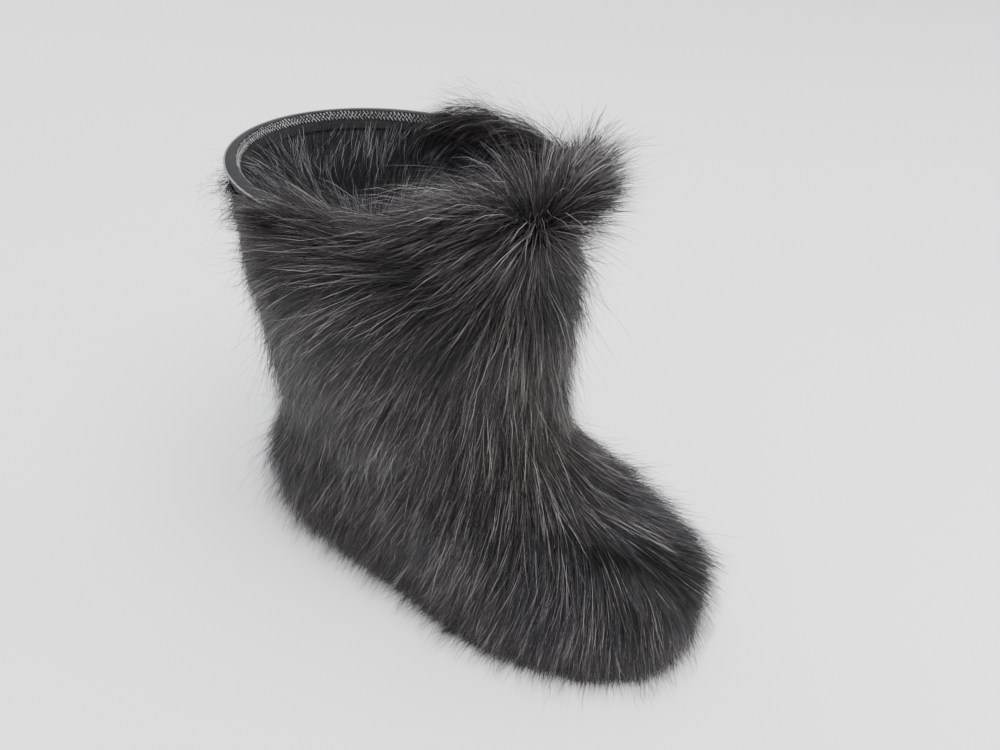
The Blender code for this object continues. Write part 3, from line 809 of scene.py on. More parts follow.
def hair_tree():
    """Geometry tree that grows hairs on a surface. Each follows the surface's flow, rises to the coat's depth,
    and draws together with its neighbours into tufts and locks. What reaches the floor lies out along it."""
    tree, wires, end = new_tree(
        "grow_hair",
        "GeometryNodeTree",
        (
            ("Surface", "NodeSocketGeometry", None),
            ("Strand", "NodeSocketObject", None),
            ("Density", "NodeSocketFloat", 100000.0),
            ("Longest", "NodeSocketFloat", 1.1),
            ("Shortest", "NodeSocketFloat", 0.7),
            ("Highest", "NodeSocketFloat", 1.1),
            ("Lowest", "NodeSocketFloat", 0.5),
            ("Lightness", "NodeSocketFloat", 0.0),
            ("Least Settled", "NodeSocketFloat", 0.8),
            ("Width", "NodeSocketFloat", 0.0002),
            ("Tuft Size", "NodeSocketFloat", 0.003),
            ("Tuft Gather", "NodeSocketFloat", 0.7),
            ("Lock Size", "NodeSocketFloat", 0.01),
            ("Lock Gather", "NodeSocketFloat", 0.4),
            ("Sway", "NodeSocketFloat", 0.2),
            ("Flyaway", "NodeSocketFloat", 0.5),
            ("Low Corner", "NodeSocketVector", None),
            ("High Corner", "NodeSocketVector", None),
            ("Floor", "NodeSocketFloat", 0.0004),
            ("Seed", "NodeSocketInt", 0),
            ("Material", "NodeSocketMaterial", None),
        ),
        (("Hair", "NodeSocketGeometry"),),
    )

    def stored(name, kind="FLOAT_VECTOR"):
        node = add_node(tree, "GeometryNodeInputNamedAttribute", {"Name": name}, data_type=kind)
        return output(node, "Attribute")

    def chance(low, high, step):
        seed = wires["Seed"] + step
        feeds = {"Min": low, "Max": high, "Seed": seed}
        return output(add_node(tree, "FunctionNodeRandomValue", feeds, data_type="FLOAT"), "Value")

    def store(geometry, name, value, kind, domain="POINT"):
        feeds = {"Geometry": geometry, "Name": name, "Value": value}
        return output(add_node(tree, "GeometryNodeStoreNamedAttribute", feeds, data_type=kind, domain=domain))

    density = wires["Density"] * stored("crowd", "FLOAT")
    feeds = {"Mesh": wires["Surface"], "Density": density, "Seed": wires["Seed"]}
    points = output(add_node(tree, "GeometryNodeDistributePointsOnFaces", feeds), "Points")
    root = output(add_node(tree, "GeometryNodeInputPosition"))
    outward, flow = stored("outward"), stored("flow")
    side = output(add_node(tree, "ShaderNodeVectorMath", {0: outward, 1: flow}, operation="CROSS_PRODUCT"))
    stray = chance(0.0, 1.0, 1).combine("POWER", 9.0)
    length = stored("length", "FLOAT") * chance(wires["Shortest"], wires["Longest"], 2) * (stray * 0.3 + 1.0)
    rise = stored("rise", "FLOAT") * chance(wires["Lowest"], wires["Highest"], 3) * (stray * 1.1 + 1.0)

    draw = None
    for size, gather in (("Tuft Size", "Tuft Gather"), ("Lock Size", "Lock Gather")):
        scale = output(add_node(tree, "ShaderNodeMath", {0: 1.0, 1: wires[size]}, operation="DIVIDE"))
        cell = add_node(tree, "ShaderNodeTexVoronoi", {"Vector": root, "Scale": scale})
        inward = output(cell, "Position") - root
        inward = inward - outward * inward.dot(outward)
        pull = inward * wires[gather]
        draw = pull if draw is None else draw + pull
        tuft_chance = output(cell, "Color") if draw is pull else tuft_chance
    lock_chance = output(cell, "Color")
    lock_turn = (lock_chance.part("X") - 0.5) * wires["Sway"] + chance(-0.09, 0.09, 4)
    rise = rise * (lock_chance.part("Y") * 0.5 + 0.75)
    draw = draw + side * (lock_turn * length)
    feeds = {"Min": (-1.0, -1.0, -1.0), "Max": (1.0, 1.0, 1.0), "Seed": wires["Seed"] + 9}
    loose = output(add_node(tree, "FunctionNodeRandomValue", feeds, data_type="FLOAT_VECTOR"), "Value")
    looseness = chance(0.0, 1.0, 10).combine("POWER", 14.0) * wires["Flyaway"]
    draw = draw + (loose + outward * 0.5) * (looseness * length)
    draw = draw + stored("settle") * chance(wires["Least Settled"], 1.0, 11)
    run, lift = flow * length, outward * rise
    tip = root + run + lift + draw
    kept = tip.combine("MAXIMUM", wires["Low Corner"]).combine("MINIMUM", wires["High Corner"])
    draw = draw + (kept - tip)
    roll = chance(-0.75, 0.75, 5)
    width = wires["Width"] * chance(0.7, 1.3, 6)
    broad = side * (roll.combine("COSINE", 0.0) * width) + outward * (roll.combine("SINE", 0.0) * width)

    pale = chance(0.0, 1.0, 7).combine("POWER", 13.0)
    shade = stored("shade", "FLOAT") + wires["Lightness"] + chance(-0.43, 0.43, 8) + pale * 0.9
    shade = shade + (tuft_chance.part("X") - 0.5) * 0.45
    shade = (shade * TONE_STEPS).combine("MINIMUM", TONE_STEPS - 0.5).combine("MAXIMUM", 0.0)
    tone = shade.combine("FLOOR", 0.0) + stored("warmth", "FLOAT")
    geometry = points
    vectors = {"root": root, "run": run, "lift": lift, "draw": draw, "broad": broad}
    for name, value in vectors.items():
        geometry = store(geometry, name, value, "FLOAT_VECTOR")
    geometry = store(geometry, "tone", tone, "FLOAT")

    strand = output(add_node(tree, "GeometryNodeObjectInfo", {"Object": wires["Strand"]}), "Geometry")
    feeds = {"Points": geometry, "Instance": strand}
    hairs = output(add_node(tree, "GeometryNodeInstanceOnPoints", feeds), "Instances")
    hairs = output(add_node(tree, "GeometryNodeRealizeInstances", {"Geometry": hairs}), "Geometry")
    along, edge = stored("along", "FLOAT"), stored("side", "FLOAT")
    square = along * along
    place = stored("root") + stored("run") * along + stored("lift") * (along * 2.0 - square)
    place = place + stored("draw") * square + stored("broad") * edge
    short_fall = (wires["Floor"] - place.part("Z")).combine("MAXIMUM", 0.0)
    spread = stored("outward") * (0.6, 0.6, 0.0)
    place = place + spread * short_fall
    place = place + output(add_node(tree, "ShaderNodeCombineXYZ", {"Z": short_fall}))
    place = place.combine("MAXIMUM", wires["Low Corner"]).combine("MINIMUM", wires["High Corner"])
    hairs = output(add_node(tree, "GeometryNodeSetPosition", {"Geometry": hairs, "Position": place}))
    across = (stored("tone", "FLOAT") + edge * 0.03) * (1.0 / TONE_STEPS)
    uv = output(add_node(tree, "ShaderNodeCombineXYZ", {"X": across, "Y": along}))
    hairs = store(hairs, "OFBake", uv, "FLOAT2", "CORNER")
    for name in (*vectors, "tone", "along", "side", *COAT_FIELDS):
        hairs = output(add_node(tree, "GeometryNodeRemoveAttribute", {"Geometry": hairs, "Name": name}))
    feeds = {"Geometry": hairs, "Material": wires["Material"]}
    hairs = output(add_node(tree, "GeometryNodeSetMaterial", feeds))
    tree.links.new(hairs.socket, end.inputs["Hair"])
    return tree


def new_material(name, roughness, feeds=None):
    """A material with its shader's plain values set."""
    material = bpy.data.materials.new(name)
    material.use_nodes = True
    shader = material.node_tree.nodes["Principled BSDF"]
    shader.inputs["Roughness"].default_value = roughness
    for key, value in (feeds or {}).items():
        shader.inputs[key].default_value = value
    return material, material.node_tree, shader


def link(tree, wire, socket):
    """Feeds a wire to a socket."""
    tree.links.new(wire.socket, socket)


def hair_colour_group():
    """Colours of a coat from a hair's UV: its shade and warmth across, and its root and tip along."""
    inputs = (
        ("UV", "NodeSocketVector", None),
        ("Cool", "NodeSocketColor", (0.02, 0.02, 0.025, 1.0)),
        ("Warm", "NodeSocketColor", (0.03, 0.024, 0.02, 1.0)),
        ("Pale", "NodeSocketColor", (0.2, 0.19, 0.18, 1.0)),
        ("Root Shade", "NodeSocketFloat", 0.5),
    )
    tree, wires, end = new_tree("hair_colour", "ShaderNodeTree", inputs, (("Color", "NodeSocketColor"),))
    across = wires["UV"].part("X") * float(TONE_STEPS)
    warmth = across.combine("FRACT", 0.0)
    shade = (across - warmth) * (1.0 / (TONE_STEPS - 1))
    tint = add_node(tree, "ShaderNodeMix", data_type="RGBA")
    feed_mix(tree, tint, warmth, wires["Cool"], wires["Warm"])
    level = shade * shade * 3.3 + 0.08
    along = wires["UV"].part("Y")
    root_shade = wires["Root Shade"]
    fade = root_shade + (along * 1.3).combine("MINIMUM", 1.0) * (output_one(tree) - root_shade)
    body = add_node(tree, "ShaderNodeMix", data_type="RGBA", blend_type="MULTIPLY")
    grey = output(add_node(tree, "ShaderNodeCombineColor", {channel: level * fade for channel in range(3)}))
    feed_mix(tree, body, 1.0, output(tint, "Result"), grey)
    final = add_node(tree, "ShaderNodeMix", data_type="RGBA")
    paleness = ((shade - 0.8) * 6.0).combine("MINIMUM", 1.0).combine("MAXIMUM", 0.0) * fade
    feed_mix(tree, final, paleness, output(body, "Result"), wires["Pale"])
    link(tree, output(final, "Result"), end.inputs["Color"])
    return tree


def output_one(tree):
    """A wire that is always 1."""
    return output(add_node(tree, "ShaderNodeMath", {0: 1.0, 1: 0.0}, operation="ADD"))


def feed_mix(tree, node, share, first, second):
    """Feeds a colour mix."""
    for key, value in (("Factor", share), ("A", first), ("B", second)):
        socket = pick(node.inputs, key)
        if isinstance(value, Wire):
            tree.links.new(value.socket, socket)
        else:
            socket.default_value = value


# The colours of each kind of hair: cool and warm, its pale single hairs, how dark its root is, and its roughness.
HairColour = namedtuple("HairColour", "cool warm pale root_shade roughness")
PALE = (0.24, 0.22, 0.21)
HAIR_COLOURS = {
    "coat_hair": HairColour((0.023, 0.0222, 0.0275), (0.0350, 0.0278, 0.0240), PALE, 0.16, 0.42),
    "hem_hair": HairColour((0.024, 0.023, 0.028), (0.042, 0.029, 0.025), PALE, 0.40, 0.50),
    "fringe_hair": HairColour((0.024, 0.0232, 0.0285), (0.0360, 0.0290, 0.0252), PALE, 0.24, 0.42),
    "lining_hair": HairColour((0.030, 0.029, 0.036), (0.036, 0.032, 0.032), (0.20, 0.20, 0.20), 0.30, 0.70),
}


def hair_material(name, group):
    """Hair that takes its colour from its own UV map."""
    colour = HAIR_COLOURS[name]
    material, tree, shader = new_material(name, colour.roughness, {"Specular IOR Level": 0.26})
    uv = output(add_node(tree, "ShaderNodeUVMap", uv_map="OFBake"), "UV")
    node = tree.nodes.new("ShaderNodeGroup")
    node.node_tree = group
    link(tree, uv, node.inputs["UV"])
    node.inputs["Cool"].default_value = (*colour.cool, 1.0)
    node.inputs["Warm"].default_value = (*colour.warm, 1.0)
    node.inputs["Pale"].default_value = (*colour.pale, 1.0)
    node.inputs["Root Shade"].default_value = colour.root_shade
    link(tree, output(node, "Color"), shader.inputs["Base Color"])
    return material


def undercoat_material():
    """Dense dark wool under the guard hairs, in fine streaks that run down the coat."""
    material, tree, shader = new_material("undercoat", 0.8, {"Specular IOR Level": 0.25})
    uv = output(add_node(tree, "ShaderNodeUVMap", uv_map="OFBake"), "UV")
    feeds = {"Vector": uv * (420.0, 24.0, 1.0), "Scale": 1.0, "Detail": 3.0}
    streaks = add_node(tree, "ShaderNodeTexNoise", feeds)
    ramp = add_node(tree, "ShaderNodeValToRGB", {"Fac": output(streaks, "Fac")})
    ramp.color_ramp.elements[0].position = 0.35
    ramp.color_ramp.elements[0].color = (0.006, 0.005, 0.005, 1.0)
    ramp.color_ramp.elements[1].position = 0.75
    ramp.color_ramp.elements[1].color = (0.026, 0.022, 0.020, 1.0)
    link(tree, output(ramp, "Color"), shader.inputs["Base Color"])
    feeds = {"Height": output(streaks, "Fac"), "Distance": 0.001, "Strength": 0.8}
    bump = add_node(tree, "ShaderNodeBump", feeds)
    link(tree, output(bump, "Normal"), shader.inputs["Normal"])
    return material


def finish_piece(piece, slot, *nodes):
    if nodes:
        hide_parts(*nodes)
    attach(piece, "root")


def make_undercoat(surface):
    """The coat's body: the surface that the hairs grow from, closed along the hide and the sole's side."""
    angle = turn(HAIR_COLUMNS)
    rings = list(surface["point"][::2])
    top = coat_top(angle)
    inner = []
    for share in np.linspace(1.0, 0.0, UPPER_RINGS * 2):
        distance = share * np.minimum(top, WALL_HEIGHT - BINDING_OUTSIDE - BINDING_THICKNESS)
        clear = TAPE_CLEAR if share > 0.9 else 4 * GAP
        clear = SOLE_MARGIN + 4 * GAP if share == 0.0 else clear
        point, outward, _, _ = wall_frame(distance, angle)
        inner.append(point + outward * clear)
    rings = rings + inner + [hem_ring(angle, SOLE_MARGIN + 4 * GAP)]
    faces = grid_faces(len(rings), HAIR_COLUMNS, wrap=True)
    undercoat = mesh_object("undercoat", np.concatenate(rings), faces, undercoat_material())
    ring_uv(undercoat, len(rings), HAIR_COLUMNS)
    finish_piece(undercoat, "fur", "fur")


# The coat's layers: soft short underfur, then long guard hair. Each piece is one pass over the whole coat.
CoatLayer = namedtuple(
    "CoatLayer",
    "name pieces steps density width long short high low light settled flyaway tuft_gather lock_gather",
)
COAT_LAYERS = (
    CoatLayer(
        "underfur", 2, (0.0, 0.5), 370000.0, 0.00014,
        0.95, 0.50, 1.00, 0.30, -0.20, 0.60, 0.18, 0.42, 0.24,
    ),
    CoatLayer(
        "guard_hair", 2, (0.0, 0.35, 0.70), 232000.0, 0.00010,
        1.15, 0.75, 1.35, 0.60, 0.12, 0.20, 0.42, 0.38, 0.24,
    ),
)
# Wisps reach a little past the solids, and no further than this on each side.
WISP_REACH = (0.011, 0.014, 0.014)
LOW_CORNER = [low - reach for low, reach in zip(cad_box[0], WISP_REACH)]
HAIR_FLOOR = 0.0004
HIGH_CORNER = [high + reach for high, reach in zip(cad_box[1], WISP_REACH)]


def hair_carrier(fields):
    """A mesh that hair grows from, with what its hairs need to know at each point."""
    points = np.array(fields["point"])
    carrier = mesh_object("hair_carrier", points.reshape(-1, 3), grid_faces(len(points), HAIR_COLUMNS))
    for name in COAT_FIELDS:
        values = np.array(fields[name])
        give_attribute(carrier, name, values.reshape(-1, 3) if values.ndim == 3 else values.ravel())
    return carrier


def grow_piece(carrier, tree, name, values):
    """One piece of hair, whose tips keep between the corners and above the floor."""
    values = {**values, "Low Corner": LOW_CORNER, "High Corner": HIGH_CORNER, "Floor": HAIR_FLOOR}
    finish_piece(run_tree(carrier, tree, values, name), "fur")


def make_hair(surface, tree, group):
    """Passes of underfur and guard hair over the whole coat, each its own piece."""
    carrier = hair_carrier(surface)
    material = hair_material("coat_hair", group)
    for layer in COAT_LAYERS:
        strand = strand_pattern(layer.steps)
        for number in range(1, layer.pieces + 1):
            values = {
                "Strand": strand,
                "Density": layer.density,
                "Width": layer.width,
                "Longest": layer.long,
                "Shortest": layer.short,
                "Highest": layer.high,
                "Lowest": layer.low,
                "Lightness": layer.light,
                "Least Settled": layer.settled,
                "Tuft Size": 0.0016,
                "Tuft Gather": layer.tuft_gather,
                "Lock Size": 0.0065,
                "Lock Gather": layer.lock_gather,
                "Sway": 0.20,
                "Flyaway": layer.flyaway,
                "Seed": number * 100 + len(layer.steps),
                "Material": material,
            }
            grow_piece(carrier, tree, f"{layer.name}_{number}", values)
        bpy.data.objects.remove(strand)
    bpy.data.objects.remove(carrier)


# Hair along the hem: a close fall of straight hair over the sole's side, then loose wisps that lie out over the
# floor. Each part has the band up the wall that it grows from, its place in the pile's depth, its length, or 0
# for down to the floor, how far it splays out and gathers, its density and hair width, its lightness, and how
# far single hairs stray.
HemPart = namedtuple("HemPart", "name low high seat length splay gather density width shade stray")
HEM_PARTS = (
    HemPart("hem_fall", 0.001, 0.020, 0.62, 0.0, 0.10, 0.20, 620000.0, 0.00009, 0.30, 0.08),
    HemPart("hem_wisps", 0.000, 0.026, 0.70, 0.025, 0.85, 0.40, 240000.0, 0.00006, 0.26, 0.40),
)
HEM_ROWS = 6


def make_hem(tree, group):
    """Straight hair that hangs over the sole's side, and sparse thin hair that splays out on the floor."""
    angle = turn(HAIR_COLUMNS)
    every = np.ones(HAIR_COLUMNS)
    material = hair_material("hem_hair", group)
    strand = strand_pattern((0.0, 0.4, 0.75))
    for number, part in enumerate(HEM_PARTS):
        fields = {name: [] for name in ("point", *COAT_FIELDS)}
        for share in np.linspace(0.0, 1.0, HEM_ROWS):
            distance = (part.low + (part.high - part.low) * share) * every
            point, outward, down, around = wall_frame(distance, angle)
            point = point + outward * (pile_depth(distance, angle) * part.seat)[:, None]
            level_out = laid_level(outward)
            flow = level_out * (part.splay * (1.0 - 0.45 * share)) + np.array((0.0, 0.0, -0.9))
            flow = flow + around * 0.25 * drift(point, 0.02, 31)[:, None]
            flow = unit(flow)
            row = {
                "point": point,
                "outward": level_out,
                "flow": flow,
                "length": np.where(part.length > 0.0, part.length + 0.008 * share, point[:, 2] + 0.001),
                "rise": 0.004 * every,
                "warmth": np.clip(0.84 - 0.25 * share + 0.1 * drift(point, 0.03, 32), *WARMTH_LIMITS),
                "shade": part.shade + 0.08 * drift(point, 0.02, 33),
                "crowd": every,
                "place": 0.0 * every,
                "whorl": 0.0 * every,
                "settle": 0.0 * point,
            }
            for name, value in row.items():
                fields[name].append(value)
        carrier = hair_carrier(fields)
        values = {
            "Strand": strand, "Density": part.density, "Width": part.width, "Longest": 1.12, "Shortest": 0.60,
            "Highest": 1.2, "Lowest": 0.2, "Lightness": 0.0, "Least Settled": 1.0, "Tuft Size": 0.0018,
            "Tuft Gather": part.gather, "Lock Size": 0.006, "Lock Gather": 0.4 * part.gather, "Sway": 0.25,
            "Flyaway": part.stray, "Seed": 900 + number, "Material": material,
        }
        grow_piece(carrier, tree, part.name, values)
        bpy.data.objects.remove(carrier)
    bpy.data.objects.remove(strand)


# The fringe along the rim, grown from the top of the wall and from the rim's own edge.
COLLAR_ROWS = 12
COLLAR_BELOW = 0.0045
CROWN_BELOW = 0.006
COLLAR_DENSITY = 1.9e6
CROWN_OUT = 0.0062
CROWN_REACH = 0.029
# How far from the crown's middle the fringe gets painted shade.
CROWN_PAINTED_SHADE_REACH = 0.007
# What each part of the fringe is like: its hair's length, rise and droop, its shade, and how crowded it is.
FringePart = namedtuple("FringePart", "length rise droop shade crowd")
NEAR_FRINGE = FringePart(0.042, 0.0150, 0.007, 0.28, 1.0)
FAR_FRINGE = FringePart(0.031, 0.0165, 0.013, 0.27, 1.7)
CROWN_FRINGE = FringePart(0.050, 0.0215, 0.003, 0.58, 5.0)


def make_collar_fringe(tree, group):
    """Long hair that stands on the rim. It fans out from the crown at the front corner of the collar, sweeps back
    along the foot's outer side and falls in over the tape along the inner side."""
    angle = turn(HAIR_COLUMNS)
    top = coat_top(angle)
    edge, edge_out, _, _ = wall_frame(np.full(1, WALL_HEIGHT), np.full(1, WHORL_ANGLE))
    crown = edge[0] + edge_out[0] * CROWN_OUT
    near = ease(np.sin(angle) * 1.3)
    far = ease(-np.sin(angle) * 1.3)
    fields = {name: [] for name in ("point", *COAT_FIELDS)}
    for share in np.linspace(0.0, 1.0, COLLAR_ROWS):
        below = COLLAR_BELOW + CROWN_BELOW * np.exp(-(((angle - WHORL_ANGLE) / 0.40) ** 2))
        distance = top - below * max(0.0, 1.0 - 2.0 * share)
        point, outward, _, around = wall_frame(distance, angle)
        deep = pile_depth(distance, angle) * thinned(1.0, angle) * UNDERCOAT_SHARE
        deep = deep + (TAPE_CLEAR - deep) * max(0.0, 2.0 * share - 1.0)
        point = point + outward * deep[:, None]
        level_out = laid_level(outward)
        back = around * np.sign(np.sin(angle) + 1e-9)[:, None]
        away = (point - crown) * (1.0, 1.0, 0.5)
        reach = np.linalg.norm(away, axis=-1)
        away = away / reach[:, None]
        hold = np.exp(-((reach / CROWN_REACH) ** 2))
        heelward = ease((angle - 1.2) / 0.7) * near
        lean_in = 0.12 + 0.20 * np.exp(-(((angle - 1.25) / 0.35) ** 2)) - 0.20 * heelward
        flow = near[:, None] * (back - level_out * lean_in[:, None])
        flow = flow + far[:, None] * (back * 0.5 - level_out * 0.8)
        flow = flow + (1.0 - near - far)[:, None] * away
        flow = away * hold[:, None] + flow * (1.0 - hold)[:, None]
        flow = unit(flow)
        rising = UPWARD + level_out * (0.45 * near * (1.0 - hold))[:, None]
        rising = unit(rising)

        def blend(field):
            side = getattr(NEAR_FRINGE, field) * (1.0 - far) + getattr(FAR_FRINGE, field) * far
            return side + (getattr(CROWN_FRINGE, field) - side) * hold

        taper = 0.35 + 0.65 * fringe(angle)
        # Random tone, with painted shade at the crown's middle.
        shade = blend("shade") + 0.10 * drift(point, 0.02, 41) - 0.14 * np.exp(-((reach / CROWN_PAINTED_SHADE_REACH) ** 2))
        crowd = blend("crowd") * fringe(angle) * (1.0 - 0.75 * heelward) * (1.0 + 1.6 * hold * share * share)
        droop = blend("droop") + 0.006 * heelward + 0.008 * hold * ease(-flow[:, 1])
        row = {
            "point": point,
            "outward": rising,
            "flow": flow,
            "length": blend("length") * (1.0 - 0.20 * heelward) * taper,
            "rise": blend("rise") * (1.0 - 0.60 * heelward) * taper,
            "warmth": np.clip(0.62 - 0.12 * hold + 0.15 * drift(point, 0.04, 42), *WARMTH_LIMITS),
            "shade": shade,
            "crowd": crowd,
            "place": 1.0 + 0.0 * angle,
            "whorl": hold,
            "settle": -UPWARD * droop[:, None],
        }
        for name, value in row.items():
            fields[name].append(value)
    carrier = hair_carrier(fields)
    strand = strand_pattern((0.0, 0.25, 0.50, 0.76))
    material = hair_material("fringe_hair", group)
    values = {
        "Strand": strand, "Density": COLLAR_DENSITY, "Width": 0.00011, "Longest": 1.12, "Shortest": 0.65,
        "Highest": 1.35, "Lowest": 0.35, "Lightness": 0.0, "Least Settled": 0.4, "Tuft Size": 0.0020,
        "Tuft Gather": 0.40, "Lock Size": 0.008, "Lock Gather": 0.18, "Sway": 0.28, "Flyaway": 0.40,
        "Seed": 500, "Material": material,
    }
    grow_piece(carrier, tree, "collar_fringe", values)
    bpy.data.objects.remove(strand)
    bpy.data.objects.remove(carrier)


# The lining's pile inside the shaft, from below the tape down.
LINING_ROWS = 40
LINING_START = 0.0045
LINING_END = 0.36
LINING_LENGTH = 0.015
LINING_RISE = 0.004


def make_lining_pile(tree, group):
    """Sparse soft pile on the lining, hanging down from the tape."""
    angle = turn(HAIR_COLUMNS)
    fields = {name: [] for name in ("point", *COAT_FIELDS)}
    for share in np.linspace(1.0, LINING_END, LINING_ROWS):
        distance = share * (WALL_HEIGHT - LINING_START)
        point, outward, down, around = wall_frame(distance + 0.0 * angle, angle)
        point = point - outward * (HIDE_WALL + GAP + BINDING_THICKNESS + 0.0002)
        lean = 0.35 * drift(point, 0.05, 21)[:, None] + 0.35 * np.sin(angle)[:, None]
        flow = around * lean + down
        flow = unit(flow)
        # The lining's shade: random tone, and a painted highlight that lightens the pile lower down.
        lining_tone_and_painted_highlight = 0.42 + 0.22 * drift(point, 0.03, 22) + 0.25 * ease((0.92 - share) / 0.2)
        every = np.ones(HAIR_COLUMNS)
        values = (
            point, -outward, flow, LINING_LENGTH * every, LINING_RISE * every, 0.12 * every,
            np.clip(lining_tone_and_painted_highlight, 0.05, 0.8), every, share * every, 0.0 * every, 0.0 * point
        )
        for name, value in zip(fields, values):
            fields[name].append(value)
    carrier = hair_carrier(fields)
    strand = strand_pattern((0.0, 0.5))
    material = hair_material("lining_hair", group)
    values = {
        "Strand": strand, "Density": 350000.0, "Width": 0.00011, "Longest": 1.30, "Shortest": 0.5,
        "Highest": 1.4, "Lowest": 0.3, "Lightness": 0.0, "Least Settled": 1.0, "Tuft Size": 0.0018,
        "Tuft Gather": 0.25, "Lock Size": 0.006, "Lock Gather": 0.15, "Sway": 0.6, "Flyaway": 0.3,
        "Seed": 700, "Material": material,
    }
    grow_piece(carrier, tree, "lining_pile", values)
    bpy.data.objects.remove(strand)
    bpy.data.objects.remove(carrier)


# Overlock stitches on the tape's inner face, in rows that lean one way and the other.
STITCH_ROWS = 3
STITCHES_ROUND = 230
STITCH_SPACING = 0.0014
STITCH_FIRST = 0.0003
STITCH_LENGTH = 0.0022
STITCH_WIDTH = 0.00078
STITCH_LEAN = 0.55
PIPING_RADIUS = 0.00055
PIPING_SIDES = 8
PIPING_COLUMNS = 180


def rim_frame(angle):
    """The hide's top edge with its outward, upward and sideways directions, as the tape is folded over it."""
    level = np.ones(angle.shape)
    edge = upper_points(level, angle)
    outward = upper_normals(level, angle)
    up = edge - upper_points(level - NEAR, angle)
    return edge, outward, unit(up), ring_direction(level, angle)


def stitch_pattern():
    """One stitch: a stub of thread that dives at both ends."""
    sections = ((-0.5, 0.35, 0.0), (-0.25, 0.9, 0.5), (0.25, 0.9, 0.5), (0.5, 0.35, 0.0))
    sides = 5
    points = []
    for along, size, lift in sections:
        for side in range(sides):
            turned = 2.0 * math.pi * side / sides
            points.append((along, 0.5 * size * math.cos(turned), lift + 0.5 * size * math.sin(turned)))
    faces = grid_faces(len(sections), sides)
    last = (len(sections) - 1) * sides
    faces += [tuple(range(sides))[::-1], tuple(range(last, last + sides))]
    pattern = mesh_object("stitch_pattern", points, faces)
    give_attribute(pattern, "local", points)
    return pattern


def stitch_tree():
    """Geometry tree that lays a thread stitch at each point, turned by the point's own directions."""
    inputs = (
        ("Places", "NodeSocketGeometry", None),
        ("Stitch", "NodeSocketObject", None),
        ("Length", "NodeSocketFloat", 0.002),
        ("Width", "NodeSocketFloat", 0.0006),
        ("Unevenness", "NodeSocketFloat", 0.15),
        ("Seed", "NodeSocketInt", 0),
        ("Material", "NodeSocketMaterial", None),
    )
    outputs = (("Thread", "NodeSocketGeometry"),)
    tree, wires, end = new_tree("lay_stitches", "GeometryNodeTree", inputs, outputs)

    def stored(name):
        node = add_node(tree, "GeometryNodeInputNamedAttribute", {"Name": name}, data_type="FLOAT_VECTOR")
        return output(node, "Attribute")

    uneven = wires["Unevenness"]
    feeds = {"Min": output_one(tree) - uneven, "Max": uneven + 1.0, "Seed": wires["Seed"]}
    uneven = output(add_node(tree, "FunctionNodeRandomValue", feeds, data_type="FLOAT"), "Value")
    root = output(add_node(tree, "GeometryNodeInputPosition"))
    places = wires["Places"]
    vectors = {"root": root, "run": stored("run") * (wires["Length"] * uneven), "across": stored("across"),
               "proud": stored("proud")}
    for name, value in vectors.items():
        feeds = {"Geometry": places, "Name": name, "Value": value}
        places = output(add_node(tree, "GeometryNodeStoreNamedAttribute", feeds, data_type="FLOAT_VECTOR"))
    stitch = output(add_node(tree, "GeometryNodeObjectInfo", {"Object": wires["Stitch"]}), "Geometry")
    feeds = {"Points": places, "Instance": stitch}
    thread = output(add_node(tree, "GeometryNodeInstanceOnPoints", feeds), "Instances")
    thread = output(add_node(tree, "GeometryNodeRealizeInstances", {"Geometry": thread}), "Geometry")
    local = stored("local")
    place = stored("root") + stored("run") * local.part("X")
    place = place + stored("across") * (local.part("Y") * wires["Width"])
    place = place + stored("proud") * (local.part("Z") * wires["Width"])
    feeds = {"Geometry": thread, "Position": place}
    thread = output(add_node(tree, "GeometryNodeSetPosition", feeds))
    for name in (*vectors, "local"):
        thread = output(add_node(tree, "GeometryNodeRemoveAttribute", {"Geometry": thread, "Name": name}))
    thread = output(add_node(tree, "GeometryNodeSetShadeSmooth", {"Geometry": thread}))
    feeds = {"Geometry": thread, "Material": wires["Material"]}
    thread = output(add_node(tree, "GeometryNodeSetMaterial", feeds))
    tree.links.new(thread.socket, end.inputs["Thread"])
    return tree


def make_stitches(grain):
    points, runs, sides, prouds = [], [], [], []
    for row in range(STITCH_ROWS):
        angle = turn(STITCHES_ROUND) + (row % 2) * math.pi / STITCHES_ROUND
        edge, outward, up, around = rim_frame(angle)
        depth = -HIDE_WALL - GAP - BINDING_THICKNESS - 0.0001
        points.append(edge + outward * depth - up * (STITCH_FIRST + row * STITCH_SPACING))
        lean = STITCH_LEAN if row % 2 else -STITCH_LEAN
        runs.append(up * math.cos(lean) + around * math.sin(lean))
        sides.append(around * math.cos(lean) - up * math.sin(lean))
        prouds.append(-outward)
    carrier = mesh_object("stitch_places", np.concatenate(points), [])
    for name, rows in (("run", runs), ("across", sides), ("proud", prouds)):
        give_attribute(carrier, name, np.concatenate(rows))
    pattern = stitch_pattern()
    thread = rough_material("thread", grain, THREAD)
    values = {
        "Stitch": pattern, "Length": STITCH_LENGTH, "Width": STITCH_WIDTH, "Unevenness": 0.40, "Seed": 5,
        "Material": thread,
    }
    stitches = run_tree(carrier, stitch_tree(), values, "overlock_stitches")
    finish_piece(stitches, "tape")
    bpy.data.objects.remove(pattern)
    bpy.data.objects.remove(carrier)


